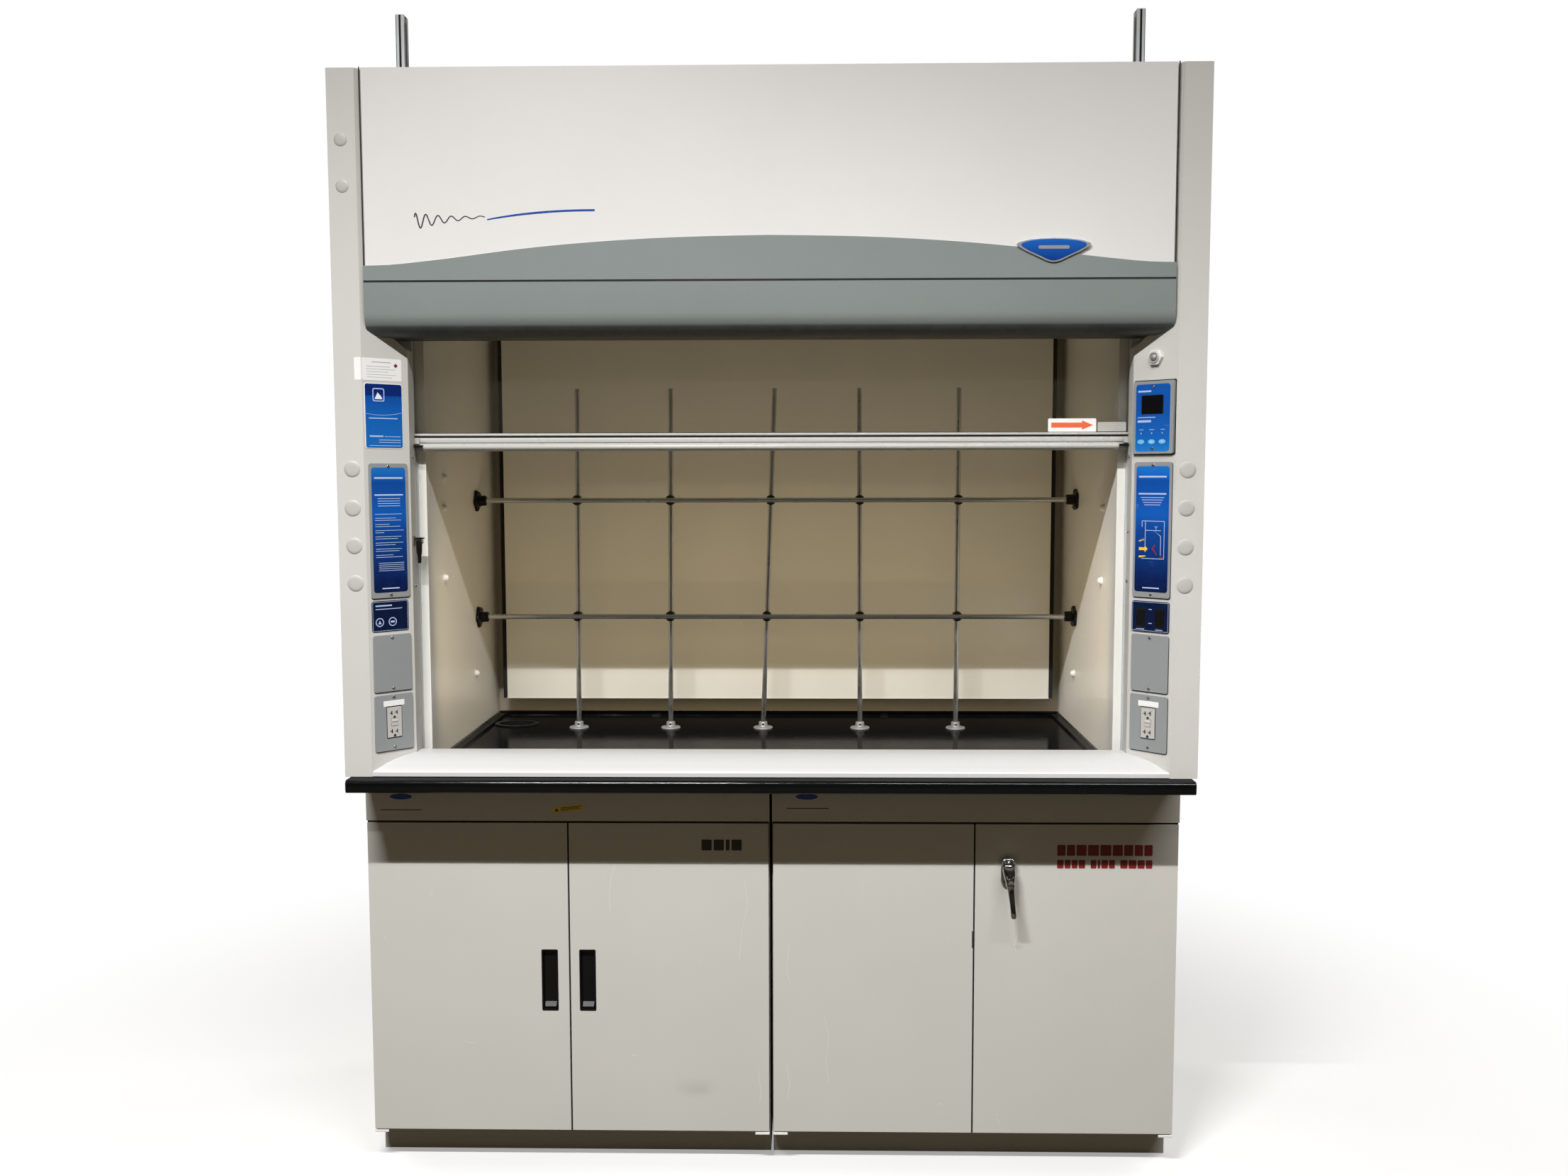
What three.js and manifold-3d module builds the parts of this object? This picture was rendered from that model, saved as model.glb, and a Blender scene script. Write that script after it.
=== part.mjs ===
// Bench-mounted chemical fume hood standing on two storage cabinets.
// Millimetres, +Z up, front faces -Y. Origin: floor level, centre of the footprint.
// Local working frame: y = 0 is the front face of the corner posts and the floor is
// at FLOOR; the whole group is shifted at the end so that the floor is z = 0 and
// the bounding box is centred on the origin.
import * as THREE from "three";
import { mergeVertices } from "three/addons/utils/BufferGeometryUtils.js";
import Module from "manifold-3d";

const wasm = await Module();
wasm.setup();

// ---------------------------------------------------------------- driving dimensions
const HALF_WIDTH = 914.5; // outer half width of the hood (72 inch hood)
const TOP = 2365; // top of the hood casing
const COUNTER = 876; // top of the work surface
const SLAB = 28; // work surface thickness
const SLAB_HALF = 903; // work surface half width
const SLAB_FRONT = -36;
const REAR = 885;
const SHEET = 2; // folded steel sheet
const GAP = 0.3; // air between touching pieces
const FLANGE_IN = 856; // inner edge of the flat post flange
const FACE_RUN = 76; // the 45 degree face runs 76 across and 76 back
const RETURN_X = FLANGE_IN - FACE_RUN; // 780
const RETURN_Y = 112;
const HEADER_HALF = 842;
const VISOR_HALF = 846;
const VISOR_BOTTOM = 1816;
const VISOR_R = 46;
const SEAM = 1928;
const LINER_X = 765; // clear half width of the chamber
const LINER_T = 5;
const LINER_FRONT = 146;
const LINER_BACK = 815;
const CEILING = 2110;
const TRACK_OUT = 801;
const TRACK_IN = 783;
const TRACK_TOP = 2510;
const GLASS_Y = [131, 137];
const SASH_BOTTOM = 1577; // underside of the handle, sash fully raised
const GLASS_TOP = 2500;
const SASH_TRAVEL = 655;
const SHEAVE_R = 25;
const CABLE_R = 1.5;
const CABLE_OFF = SHEAVE_R + CABLE_R + GAP;
const CABLE_X = 815;
const SHEAVE_Z = 2315;
const FRONT_SHEAVE_Y = 142.6;
const REAR_SHEAVE_Y = 835;
const WEIGHT_Z = [1000, 1075.5];
const FLOOR = -57;
const DOOR_FRONT = 127; // doors and fascia stand back under the work surface's front edge
const DOOR_T = 20;
const DOOR_Z = [25.5, 743.5];
const DOOR_EDGE = 912.5; // outer edge of the outer doors
const DOOR_SPLIT = [456, 459.5]; // facing edges of each pair of doors
const CAB_HALF = 914; // two 914 mm (36 inch) cabinets side by side
const CAB_TOP = COUNTER - SLAB - GAP;
const CAB_FRONT = 152;
const CAB_BACK = 725;
const CAB_FLOOR = [22, 25];
const FASCIA_BOTTOM = 748;
const TOE_KICK = 202; // front of the recessed base
const PIVOT_Y = 137;
const PIVOT_IN = 10; // pivot distance from a door's hinged edge
const LEVER_FRONT = 67;
const Y_CENTRE = (SLAB_FRONT + REAR) / 2;

// ---------------------------------------------------------------- solids from three.js geometries
function solid(geometry) {
  const bare = new THREE.BufferGeometry();
  const src = geometry.index ? geometry.toNonIndexed() : geometry;
  const at = src.getAttribute("position").clone();
  for (let i = 0; i < at.array.length; i++) at.array[i] = Math.round(at.array[i] * 256) / 256;
  bare.setAttribute("position", at);
  const g = mergeVertices(bare, 1e-3);
  return new wasm.Manifold(
    new wasm.Mesh({
      numProp: 3,
      vertProperties: new Float32Array(g.attributes.position.array),
      triVerts: new Uint32Array(g.index.array),
    }),
  );
}
function geometryOf(m) {
  const mesh = m.getMesh();
  const n = mesh.numProp;
  const v = new Float32Array(mesh.numVert * 3);
  for (let i = 0; i < mesh.numVert; i++)
    v.set(mesh.vertProperties.subarray(i * n, i * n + 3), i * 3);
  const g = new THREE.BufferGeometry();
  g.setAttribute("position", new THREE.BufferAttribute(v, 3));
  g.setIndex(new THREE.BufferAttribute(new Uint32Array(mesh.triVerts), 1));
  g.computeVertexNormals();
  return g;
}
const all = (...parts) => parts.flat().reduce((a, b) => a.add(b));
const cut = (body, ...tools) => tools.flat().reduce((a, b) => a.subtract(b), body);

function boxG(x0, x1, y0, y1, z0, z1) {
  return new THREE.BoxGeometry(x1 - x0, y1 - y0, z1 - z0).translate(
    (x0 + x1) / 2, (y0 + y1) / 2, (z0 + z1) / 2);
}
const box = (...a) => solid(boxG(...a));
function shapeOf(points) {
  return new THREE.Shape(points.map((p) => new THREE.Vector2(p[0], p[1])));
}
function extrudeG(points, depth) {
  return new THREE.ExtrudeGeometry(shapeOf(points), { depth, bevelEnabled: false, steps: 1 });
}
const basis = (x, y, z, o = [0, 0, 0]) =>
  new THREE.Matrix4()
    .makeBasis(new THREE.Vector3(...x), new THREE.Vector3(...y), new THREE.Vector3(...z))
    .setPosition(...o);
// points are [x, y]
const prismZ = (points, z0, z1) => solid(extrudeG(points, z1 - z0).translate(0, 0, z0));
// points are [y, z]
const prismX = (points, x0, x1) =>
  solid(extrudeG(points, x1 - x0).applyMatrix4(basis([0, 1, 0], [0, 0, 1], [1, 0, 0], [x0, 0, 0])));
// points are [x, z]
const prismY = (points, y0, y1) =>
  solid(extrudeG(points, y1 - y0).applyMatrix4(basis([1, 0, 0], [0, 0, 1], [0, -1, 0], [0, y1, 0])));
function cylG(r, length, seg = 24) {
  return new THREE.CylinderGeometry(r, r, length, seg, 1);
}
const cylX = (r, x0, x1, y, z, seg) =>
  solid(cylG(r, x1 - x0, seg).rotateZ(Math.PI / 2).translate((x0 + x1) / 2, y, z));
const cylY = (r, y0, y1, x, z, seg) => solid(cylG(r, y1 - y0, seg).translate(x, (y0 + y1) / 2, z));
const cylZ = (r, z0, z1, x, y, seg) =>
  solid(cylG(r, z1 - z0, seg).rotateX(Math.PI / 2).translate(x, y, (z0 + z1) / 2));
const mirror = (points) => points.map(([x, y]) => [-x, y]);
const sided = (side, points) => (side < 0 ? points : mirror(points));
const xs = (side, a, b) => (side < 0 ? [-Math.max(a, b), -Math.min(a, b)] : [Math.min(a, b), Math.max(a, b)]);
function arc(cy, cz, r, a0, a1, n) {
  const out = [];
  for (let i = 0; i <= n; i++) {
    const a = ((a0 + ((a1 - a0) * i) / n) * Math.PI) / 180;
    out.push([cy + r * Math.cos(a), cz + r * Math.sin(a)]);
  }
  return out;
}
function ellipse(cx, cy, a, b, n) {
  const out = [];
  for (let i = 0; i < n; i++) {
    const t = (2 * Math.PI * i) / n;
    out.push([cx + a * Math.cos(t), cy + b * Math.sin(t)]);
  }
  return out;
}
function roundedRect(x0, x1, y0, y1, r, n = 4) {
  return [
    ...arc(x1 - r, y0 + r, r, -90, 0, n), ...arc(x1 - r, y1 - r, r, 0, 90, n),
    ...arc(x0 + r, y1 - r, r, 90, 180, n), ...arc(x0 + r, y0 + r, r, 180, 270, n),
  ];
}
// A right-handed frame on each post's 45 degree face: u to the viewer's right, v up, n out of the face.
const FACE_MID = [FLANGE_IN - FACE_RUN / 2, FACE_RUN / 2];
const s2 = Math.SQRT1_2;
const FACE = {
  "-1": basis([s2, s2, 0], [0, 0, 1], [s2, -s2, 0], [-FACE_MID[0], FACE_MID[1], 0]),
  1: basis([s2, -s2, 0], [0, 0, 1], [-s2, -s2, 0], [FACE_MID[0], FACE_MID[1], 0]),
};
const faceBox = (side, u0, u1, v0, v1, n0, n1) => solid(boxG(u0, u1, v0, v1, n0, n1).applyMatrix4(FACE[side]));
const facePrism = (side, points, n0, n1) =>
  solid(extrudeG(points, n1 - n0).translate(0, 0, n0).applyMatrix4(FACE[side]));
// points are [v, n], extruded along u
const faceProfile = (side, points, u0, u1) =>
  solid(extrudeG(points, u1 - u0).applyMatrix4(basis([0, 1, 0], [0, 0, 1], [1, 0, 0], [u0, 0, 0])).applyMatrix4(FACE[side]));

// ---------------------------------------------------------------- materials
const paint = (color, roughness, metalness = 0) => new THREE.MeshStandardMaterial({ color, roughness, metalness });
const M = {
  white: paint(0xe6e5e2, 0.45),
  grey: paint(0x6f7a78, 0.5),
  beige: paint(0xd6d3c9, 0.35),
  cabinet: paint(0xc6c4ba, 0.45),
  black: paint(0x0e1011, 0.25),
  plate: paint(0x8b9193, 0.55),
  blue: paint(0x0a3fb0, 0.3),
  navy: paint(0x0b1a4a, 0.3),
  dark: paint(0x101113, 0.4),
  steel: paint(0xb8bab8, 0.3, 1),
  chrome: paint(0xd8d8d8, 0.08, 1),
  track: paint(0x9a9f9e, 0.4, 0.6),
  glass: new THREE.MeshStandardMaterial({ color: 0xcfd8d4, roughness: 0.05, metalness: 0, transparent: true, opacity: 0.25 }),
};
const group = new THREE.Group();
group.name = "fume_hood";
function node(name, body, material) {
  const mesh = new THREE.Mesh(geometryOf(body), material);
  mesh.name = name;
  group.add(mesh);
  return mesh;
}
const SIDES = [[-1, "left"], [1, "right"]];

// ---------------------------------------------------------------- work surface, sink, sill
{
  const front = [
    [REAR, COUNTER - SLAB], [REAR, COUNTER],
    ...arc(SLAB_FRONT + 8, COUNTER - 8, 8, 90, 180, 4),
    ...arc(SLAB_FRONT + 6, COUNTER - SLAB + 6, 6, 180, 270, 3),
  ];
  const slab = prismX(front, -SLAB_HALF, SLAB_HALF);
  const dish = prismZ(roundedRect(-745, 745, 168, 798, 14, 3), COUNTER - 6, COUNTER + 4);
  const hole = prismZ(ellipse(-686, 662, 53, 41, 28), COUNTER - SLAB - 2, COUNTER + 2);
  node("work_surface", cut(slab, dish, hole), M.black);

  const floor = COUNTER - 6 + GAP;
  const bowl = all(
    prismZ(ellipse(-686, 662, 57, 45, 28), floor, floor + 3),
    prismZ(ellipse(-686, 662, 51, 39, 28), 800, floor + 1),
    cylZ(19, 745, 802, -686, 662, 20),
  );
  node("cup_sink", cut(bowl, prismZ(ellipse(-686, 662, 47, 35, 28), 804, floor + 6), cylZ(15, 740, 806, -686, 662, 20)), M.black);

  const over = [[0, 877], [0, 886], [1.6, 889], [10, 893.2], [22, 900.8], [35, 907], [54, 912.8], [70, 915.6], [90, 917], [106, 917]];
  const under = [[106, 914.5], [90, 914.5], [70.3, 913.1], [54.8, 910.3], [36.1, 904.7], [23.3, 898.6], [11.5, 891.1], [3.6, 887.6], [2.5, 885.2], [2.5, 877]];
  let foil = prismX([...over, ...under], -FLANGE_IN, FLANGE_IN);
  for (const [side] of SIDES) {
    const plan = [[-1000, -70], [-(FLANGE_IN - 0.7), -70], [-(FLANGE_IN - 0.7), 0], [-(RETURN_X - 0.7), FACE_RUN], [-(RETURN_X - 0.7), 140], [-1000, 140]];
    foil = cut(foil, prismZ(sided(side, plan), 870, 930));
  }
  node("airfoil_sill", foil, M.white);
}

// ---------------------------------------------------------------- corner posts and side skins
for (const [side, label] of SIDES) {
  const z0 = COUNTER + GAP;
  const sheet = [
    [-HALF_WIDTH, 0], [-FLANGE_IN, 0], [-RETURN_X, FACE_RUN], [-(RETURN_X + SHEET), FACE_RUN + 0.83],
    [-(FLANGE_IN + 0.83), SHEET], [-HALF_WIDTH, SHEET],
  ];
  const strip = [
    [-RETURN_X, z0], [-RETURN_X, 1793], [-843.5, 1856.5], [-843.5, 1853.67], [-(RETURN_X + SHEET), 1792.17], [-(RETURN_X + SHEET), z0],
  ];
  const aboveDiagonal = [[-843.5, TOP + 10], [-843.5, 1856.5], [-RETURN_X + 0.01, 1793 - 0.01], [-700, 1713], [-700, TOP + 10]];
  const inFront = [[-866, -10], [-600, -10], [-600, 256]];
  let body = cut(prismZ(sided(side, sheet), z0, TOP), prismY(sided(side, aboveDiagonal), -6, 130));
  body = all(body, cut(prismY(sided(side, strip), 1, RETURN_Y), prismZ(sided(side, inFront), z0 - 5, TOP)));
  if (side < 0)
    body = all(body, box(-781, -777.5, 87, 101, 1371, 1391), cylX(2, -778.5, -759.5, 94, 1379, 16), box(-779, -760, 88.5, 99.5, 1385, 1388));
  const holes = [
    faceBox(side, -22, 22, 940, 1040, -20, 12),
    faceBox(side, -22, 22, 1065, 1167, -20, 12),
    faceBox(side, -30, 30, 1290, 1520, -20, 12),
  ];
  if (side > 0)
    holes.push(
      faceBox(side, -36.5, -9, 1192, 1242, -20, 12),
      faceBox(side, 8, 36, 1192, 1242, -20, 12),
      faceBox(side, -40, 40, 1578, 1710, -20, 12),
      facePrism(side, ellipse(0, 1769, 10, 10, 16), -20, 12),
    );
  node("corner_post_" + label, cut(body, holes), M.beige);

  const [a, b] = xs(side, HALF_WIDTH, HALF_WIDTH - SHEET);
  const inner = HALF_WIDTH - SHEET;
  const skin = box(a, b, SHEET + GAP, REAR, z0, TOP);
  const [p, q] = xs(side, inner + 0.5, 807);
  const [r, s] = xs(side, inner + 0.5, 900);
  node(
    "side_panel_" + label,
    cut(all(skin, cylX(5, p, q, FRONT_SHEAVE_Y, SHEAVE_Z, 20), cylX(12, r, s, REAR_SHEAVE_Y, SHEAVE_Z, 20)),
      cylX(6.5, ...xs(side, inner - 1.5, 880), REAR_SHEAVE_Y, SHEAVE_Z, 20)),
    M.beige,
  );
}

// ---------------------------------------------------------------- header: white panel, arched trim, visor
{
  const H = HEADER_HALF;
  node("header_panel", cut(
    box(-H, H, 0, 100, 1932, TOP),
    box(-H + SHEET, H - SHEET, SHEET, 105, 1925, TOP - SHEET),
  ), M.white);

  // height of the arch above its ends, against distance from the middle as a share of the half width
  const table = [[0, 59], [0.14, 57.2], [0.29, 53.2], [0.44, 45.6], [0.565, 36.7], [0.67, 26.7], [0.777, 15], [0.86, 7.2], [0.936, 1.3], [1, 0]];
  const curve = new THREE.CatmullRomCurve3(table.map(([t, h]) => new THREE.Vector3(t, h / 59, 0)));
  const right = curve.getPoints(18).map((p) => [p.x * VISOR_HALF, 1961 + 59 * p.y]);
  const arch = [[-VISOR_HALF, SEAM + 2], [VISOR_HALF, SEAM + 2], ...right.slice().reverse(), ...mirror(right.slice(1))];
  node("header_arch_trim", prismY(arch, -3.3, -GAP), M.grey);

  const cy = -3.3 + VISOR_R, cz = VISOR_BOTTOM + VISOR_R;
  const profile = [
    [110, VISOR_BOTTOM], ...arc(cy, cz, VISOR_R, 270, 180, 8), [-3.3, SEAM - 1], [8, SEAM - 1], [8, SEAM - 4],
    [-GAP, SEAM - 4], ...arc(cy, cz, VISOR_R - 3, 180, 270, 8), [110, VISOR_BOTTOM + 3],
  ];
  let visor = prismX(profile, -VISOR_HALF, VISOR_HALF);
  for (const [side] of SIDES) {
    const below = prismY(sided(side, [[-758.5, 1773], [-845, 1859.5], [-900, 1859.5], [-900, 1773]]), -20, 140);
    const behind = prismZ(sided(side, [[-1000, -145], [-700, 155], [-700, 300], [-1000, 300]]), 1700, 1900);
    visor = cut(visor, below.intersect(behind));
  }
  node("header_visor", visor, M.grey);
}

// ---------------------------------------------------------------- chamber liners, baffle, ceiling, duct, light
for (const [side, label] of SIDES) {
  const [a, b] = xs(side, LINER_X, LINER_X + LINER_T);
  const [p, q] = xs(side, LINER_X, TRACK_IN - GAP);
  node("side_liner_" + label, all(
    box(a, b, LINER_FRONT, LINER_BACK, COUNTER + GAP, CEILING),
    box(p, q, LINER_FRONT, LINER_FRONT + LINER_T, COUNTER + GAP, 1830),
  ), M.beige);
}
node("rear_liner", box(-770, 770, LINER_BACK + GAP, LINER_BACK + LINER_T, COUNTER + GAP, CEILING), M.beige);
node("ceiling_liner", cut(
  box(-770, 770, LINER_FRONT, LINER_BACK + LINER_T, CEILING + GAP, CEILING + LINER_T),
  cylZ(152, CEILING - 5, CEILING + 10, 0, 670, 36),
  box(-560, 560, 190, 290, CEILING - 5, CEILING + 10),
), M.beige);
node("baffle", all(
  prismX([[740, 926], [740, 1899], [638, 2090], [641.6, 2091.9], [744, 1900], [744, 926]], -727, 727),
  ...[[-610, 1100], [590, 1100], [-610, 1700], [590, 1700]].map(([x, z]) => box(x, x + 20, 743, LINER_BACK, z, z + 40)),
), M.beige);
{
  const z0 = CEILING + LINER_T + GAP;
  const ring = [[152, z0], [190, z0], [190, z0 + 3], [156, z0 + 3], [156, 2330], [152, 2330], [152, z0]]
    .map(([r, z]) => new THREE.Vector2(r, z));
  node("duct_collar", solid(new THREE.LatheGeometry(ring, 36).rotateX(Math.PI / 2).translate(0, 670, 0)), M.steel);
  node("light_fixture", cut(
    box(-600, 600, 165, 315, z0, z0 + 80),
    box(-598, 598, 167, 313, z0 - 5, z0 + 78),
  ), M.white);
}

// ---------------------------------------------------------------- sash, tracks and counterbalance
for (const [side, label] of SIDES) {
  const section = [[-TRACK_OUT, 118], [-TRACK_IN, 118], [-TRACK_IN, 128.5], [-798, 128.5], [-798, 139.5], [-TRACK_IN, 139.5], [-TRACK_IN, 150], [-TRACK_OUT, 150]];
  node("sash_track_" + label, prismZ(sided(side, section), COUNTER + GAP, TRACK_TOP), M.track);
}
node("sash_glass", box(-795, 795, GLASS_Y[0], GLASS_Y[1], 1600, GLASS_TOP), M.glass);
{
  const z = SASH_BOTTOM;
  const channel = [[143, z], [143, z + 39], [137.4, z + 39], [137.4, z + 22.7], [130.6, z + 22.7], [130.6, z + 39], [125, z + 39], [125, z + 30], [119, z + 29], [119, z]];
  const pull = [[120, z], [104, z], [98, z + 2], [95, z + 7], [96, z + 12], [101, z + 16], [108, z + 17.5], [120, z + 17.5]];
  const lug = (side) => {
    const [a, b] = xs(side, 781, 822);
    return box(a, b, 114.3, 117.3, z + 16, z + 29);
  };
  const arm = (side) => {
    const [a, b] = xs(side, 770, 782.5);
    return box(a, b, 114.3, 121, z + 16, z + 29);
  };
  node("sash_handle", all(prismX(channel, -782.5, 782.5), prismX(pull, -757, 757), arm(-1), arm(1), lug(-1), lug(1)), M.white);
}
const sheaveProfile = [[5.4, -6], [30, -6], [30, -4.2], [25, -2], [25, 2], [30, 4.2], [30, 6], [5.4, 6], [5.4, -6]].map(([r, x]) => new THREE.Vector2(r, x));
for (const [side, label] of SIDES)
  node("front_pulley_" + label, solid(new THREE.LatheGeometry(sheaveProfile, 32).rotateZ(-Math.PI / 2).translate(side * CABLE_X, FRONT_SHEAVE_Y, SHEAVE_Z)), M.dark);
{
  const wheel = [[0, -6], [30, -6], [30, -4.2], [25, -2], [25, 2], [30, 4.2], [30, 6], [0, 6]].map(([r, x]) => new THREE.Vector2(r, x));
  const at = (x) => solid(new THREE.LatheGeometry(wheel, 32).rotateZ(-Math.PI / 2).translate(x, REAR_SHEAVE_Y, SHEAVE_Z));
  node("rear_pulley_shaft", all(cylX(6, -909, 909, REAR_SHEAVE_Y, SHEAVE_Z, 20), at(-CABLE_X), at(CABLE_X)), M.dark);
}
node("counterweight", box(-830, 830, 850, 874, WEIGHT_Z[0], WEIGHT_Z[1]), M.dark);
// A curve through listed points that is sampled exactly at those points.
class Route extends THREE.Curve {
  constructor(points) { super(); this.points = points; }
  getPoint(t) {
    const f = t * (this.points.length - 1);
    const i = Math.min(Math.floor(f + 1e-9), this.points.length - 2);
    return this.points[i].clone().lerp(this.points[i + 1], Math.min(1, Math.max(0, f - i)));
  }
  getPointAt(u) { return this.getPoint(u); }
  getTangentAt(u) {
    const n = this.points.length - 1, k = Math.round(u * n);
    const a = this.points[Math.max(0, k - 1)], b = this.points[Math.min(n, k + 1)];
    const c = this.points[k];
    const before = k > 0 ? c.clone().sub(a).normalize() : b.clone().sub(c).normalize();
    const after = k < n ? b.clone().sub(c).normalize() : before.clone();
    return before.add(after).normalize();
  }
}
for (const [side, label] of SIDES) {
  const x = side * CABLE_X;
  const pts = [[FRONT_SHEAVE_Y - CABLE_OFF, SASH_BOTTOM + 29 + GAP], [FRONT_SHEAVE_Y - CABLE_OFF, 1950], ...arc(FRONT_SHEAVE_Y, SHEAVE_Z, CABLE_OFF, 180, 90, 6),
    ...arc(REAR_SHEAVE_Y, SHEAVE_Z, CABLE_OFF, 90, 0, 6), [REAR_SHEAVE_Y + CABLE_OFF, 1700], [REAR_SHEAVE_Y + CABLE_OFF, WEIGHT_Z[1] + GAP]];
  const route = new Route(pts.map(([y, z]) => new THREE.Vector3(x, y, z)));
  const section = shapeOf(ellipse(0, 0, CABLE_R, CABLE_R, 8));
  node("sash_cable_" + label, solid(new THREE.ExtrudeGeometry(section, { steps: pts.length - 1, extrudePath: route, bevelEnabled: false })), M.steel);
}
node("rear_top_rail", prismX([[873, 2320], [REAR, 2320], [REAR, 2322], [875, 2322], [875, TOP - 2], [REAR, TOP - 2], [REAR, TOP], [873, TOP]], -912, 912), M.beige);
node("sash_stop_lever", cut(all(
  prismX([[90, 1383.5], [98, 1383.5], [99, 1379], [97, 1352], [91, 1352], [89, 1379]], -776, -763),
  prismX([[91.5, 1352.5], [96.5, 1352.5], [96.5, 1334], [94.5, 1332], [91.5, 1334]], -773, -765),
), cylX(2.3, -780, -760, 94, 1379, 16)), M.dark);

// ---------------------------------------------------------------- plates and controls on the post faces
for (const [side, label] of SIDES) {
  node("service_access_plate_" + label, facePrism(side, roundedRect(-45, 45, 1261, 1550, 5, 3), GAP, 3.3), M.plate);
  node("blank_plate_" + label, facePrism(side, roundedRect(-44.5, 44.5, 1057.5, 1181, 4, 3), GAP, 3.3), M.plate);
  node("outlet_plate_" + label, cut(
    facePrism(side, roundedRect(-45, 45, 928, 1050.5, 4, 3), GAP, 3.3),
    faceBox(side, -17.2, 17.2, 956.5, 1023.5, -5, 10)), M.plate);
  node("outlet_" + label, cut(
    all(faceBox(side, -16.8, 16.8, 957, 1023, -20, 4.6), faceBox(side, -20, 20, 945, 1035, -32, -6)),
    faceBox(side, -7.4, 7.4, 990.7, 997.9, 1, 8), faceBox(side, -7.4, 7.4, 982.1, 989.3, 1, 8),
    ...[1010, 970].flatMap((v) => [
      faceBox(side, -7.4, -5.2, v - 4, v + 4.5, -3, 8),
      faceBox(side, 5.2, 7.2, v - 3, v + 4, -3, 8),
    ]),
  ), M.beige);
  node("outlet_test_button_" + label, faceBox(side, -7, 7, 991.1, 997.5, 2.4, 5.6), M.beige);
  node("outlet_reset_button_" + label, faceBox(side, -7, 7, 982.5, 988.9, 2.4, 5.6), M.beige);
}
node("switch_plate", cut(
  facePrism(1, roundedRect(-45, 45, 1187, 1253, 5, 3), GAP, 3.3),
  faceBox(1, -33.5, -11.5, 1196.6, 1237.4, -5, 10),
  faceBox(1, 10.7, 32.7, 1196.6, 1237.4, -5, 10)), M.navy);
for (const [name, u] of [["blower_switch_rocker", -22.5], ["light_switch_rocker", 21.7]])
  node(name, faceProfile(1, [[1217 - 18.6, 1.8], [1217, 2.6], [1217 + 18.6, 5.2], [1217 + 18.6, 0], [1217 + 14, -8], [1217 - 14, -8], [1217 - 18.6, 0]], u - 10.4, u + 10.4), M.dark);
node("airflow_monitor", all(
  facePrism(1, roundedRect(-48, 48, 1567, 1720, 4, 3), 0.5, 8),
  faceBox(1, -38, 38, 1581, 1707, -34, 1)), M.blue);

// ---------------------------------------------------------------- lattice
const CROSS_Y = 590, UPRIGHT_Y = 612, ROD_R = 6.35;
function rod(x0, z0, x1, z1, y) {
  const a = new THREE.Vector3(x0, y, z0), b = new THREE.Vector3(x1, y, z1);
  const d = b.clone().sub(a);
  const g = cylG(ROD_R, d.length(), 14);
  g.applyQuaternion(new THREE.Quaternion().setFromUnitVectors(new THREE.Vector3(0, 1, 0), d.clone().normalize()));
  return solid(g.translate((a.x + b.x) / 2, y, (a.z + b.z) / 2));
}
[[-512, -505], [-273, -266], [-33, -1], [218, 214], [465, 467]].forEach(([xb, xt], i) => {
  const floor = COUNTER - 6 + GAP;
  const along = (z) => xb + ((xt - xb) * (z - floor)) / (1745 - floor);
  node("lattice_upright_" + (i + 1), all(
    rod(xb, floor + 1, xt, 1745, UPRIGHT_Y),
    cylZ(25, floor, floor + 4, xb, UPRIGHT_Y, 24),
    cylZ(11, floor + 3, floor + 17, xb, UPRIGHT_Y, 20),
    cylY(13, CROSS_Y + ROD_R + 0.4, UPRIGHT_Y + 11, along(1461), 1461, 20),
    cylY(13, CROSS_Y + ROD_R + 0.4, UPRIGHT_Y + 11, along(1163), 1163, 20),
  ), M.steel);
});
for (const [name, z] of [["lattice_crossbar_upper", 1461], ["lattice_crossbar_lower", 1163]])
  node(name, all(
    cylX(ROD_R, -764, 764, CROSS_Y, z, 14),
    ...[-1, 1].flatMap((s) => [cylX(27, ...xs(s, LINER_X - GAP, 758), CROSS_Y, z, 20), cylX(14, ...xs(s, 759, 738), CROSS_Y, z, 18)]),
  ), M.steel);

// ---------------------------------------------------------------- base cabinets and doors
const T = 3;
for (const [side, label] of SIDES) {
  const outer = CAB_HALF, inner = 3;
  const W = (a, b) => xs(side, a, b);
  const [f0, f1] = CAB_FLOOR;
  const shell = cut(
    prismX([[TOE_KICK, FLOOR], [CAB_BACK, FLOOR], [CAB_BACK, CAB_TOP], [DOOR_FRONT, CAB_TOP], [DOOR_FRONT, FASCIA_BOTTOM], [CAB_FRONT, FASCIA_BOTTOM], [CAB_FRONT, f0], [TOE_KICK, f0]], ...W(outer, inner)),
    prismX([[139, f1], [CAB_BACK - T, f1], [CAB_BACK - T, CAB_TOP + 5], [DOOR_FRONT + 2, CAB_TOP + 5], [DOOR_FRONT + 2, FASCIA_BOTTOM + 2], [179, FASCIA_BOTTOM + 2], [179, FASCIA_BOTTOM - 6], [139, FASCIA_BOTTOM - 6]], ...W(outer - T, inner + T)),
    box(...W(outer - T, inner + T), TOE_KICK + T, CAB_BACK - T, FLOOR + 2, f0),
    box(...W(outer - 30, inner + 30), TOE_KICK + 32, CAB_BACK - 30, FLOOR - 5, FLOOR + 5),
  );
  const parts = [shell];
  for (const outerEdge of [true, false]) {
    const px = outerEdge ? DOOR_EDGE - PIVOT_IN : 5 + PIVOT_IN;
    parts.push(
      box(...W(outerEdge ? DOOR_EDGE : 4, outerEdge ? 881 : 37), DOOR_FRONT, 169, 19, 22.5),
      cylZ(3.5, 20, 37.5, side * px, PIVOT_Y, 14),
      cylZ(3.5, 735.5, FASCIA_BOTTOM + 1, side * px, PIVOT_Y, 14),
    );
  }
  node("base_cabinet_" + label, all(parts), M.cabinet);
}
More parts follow.
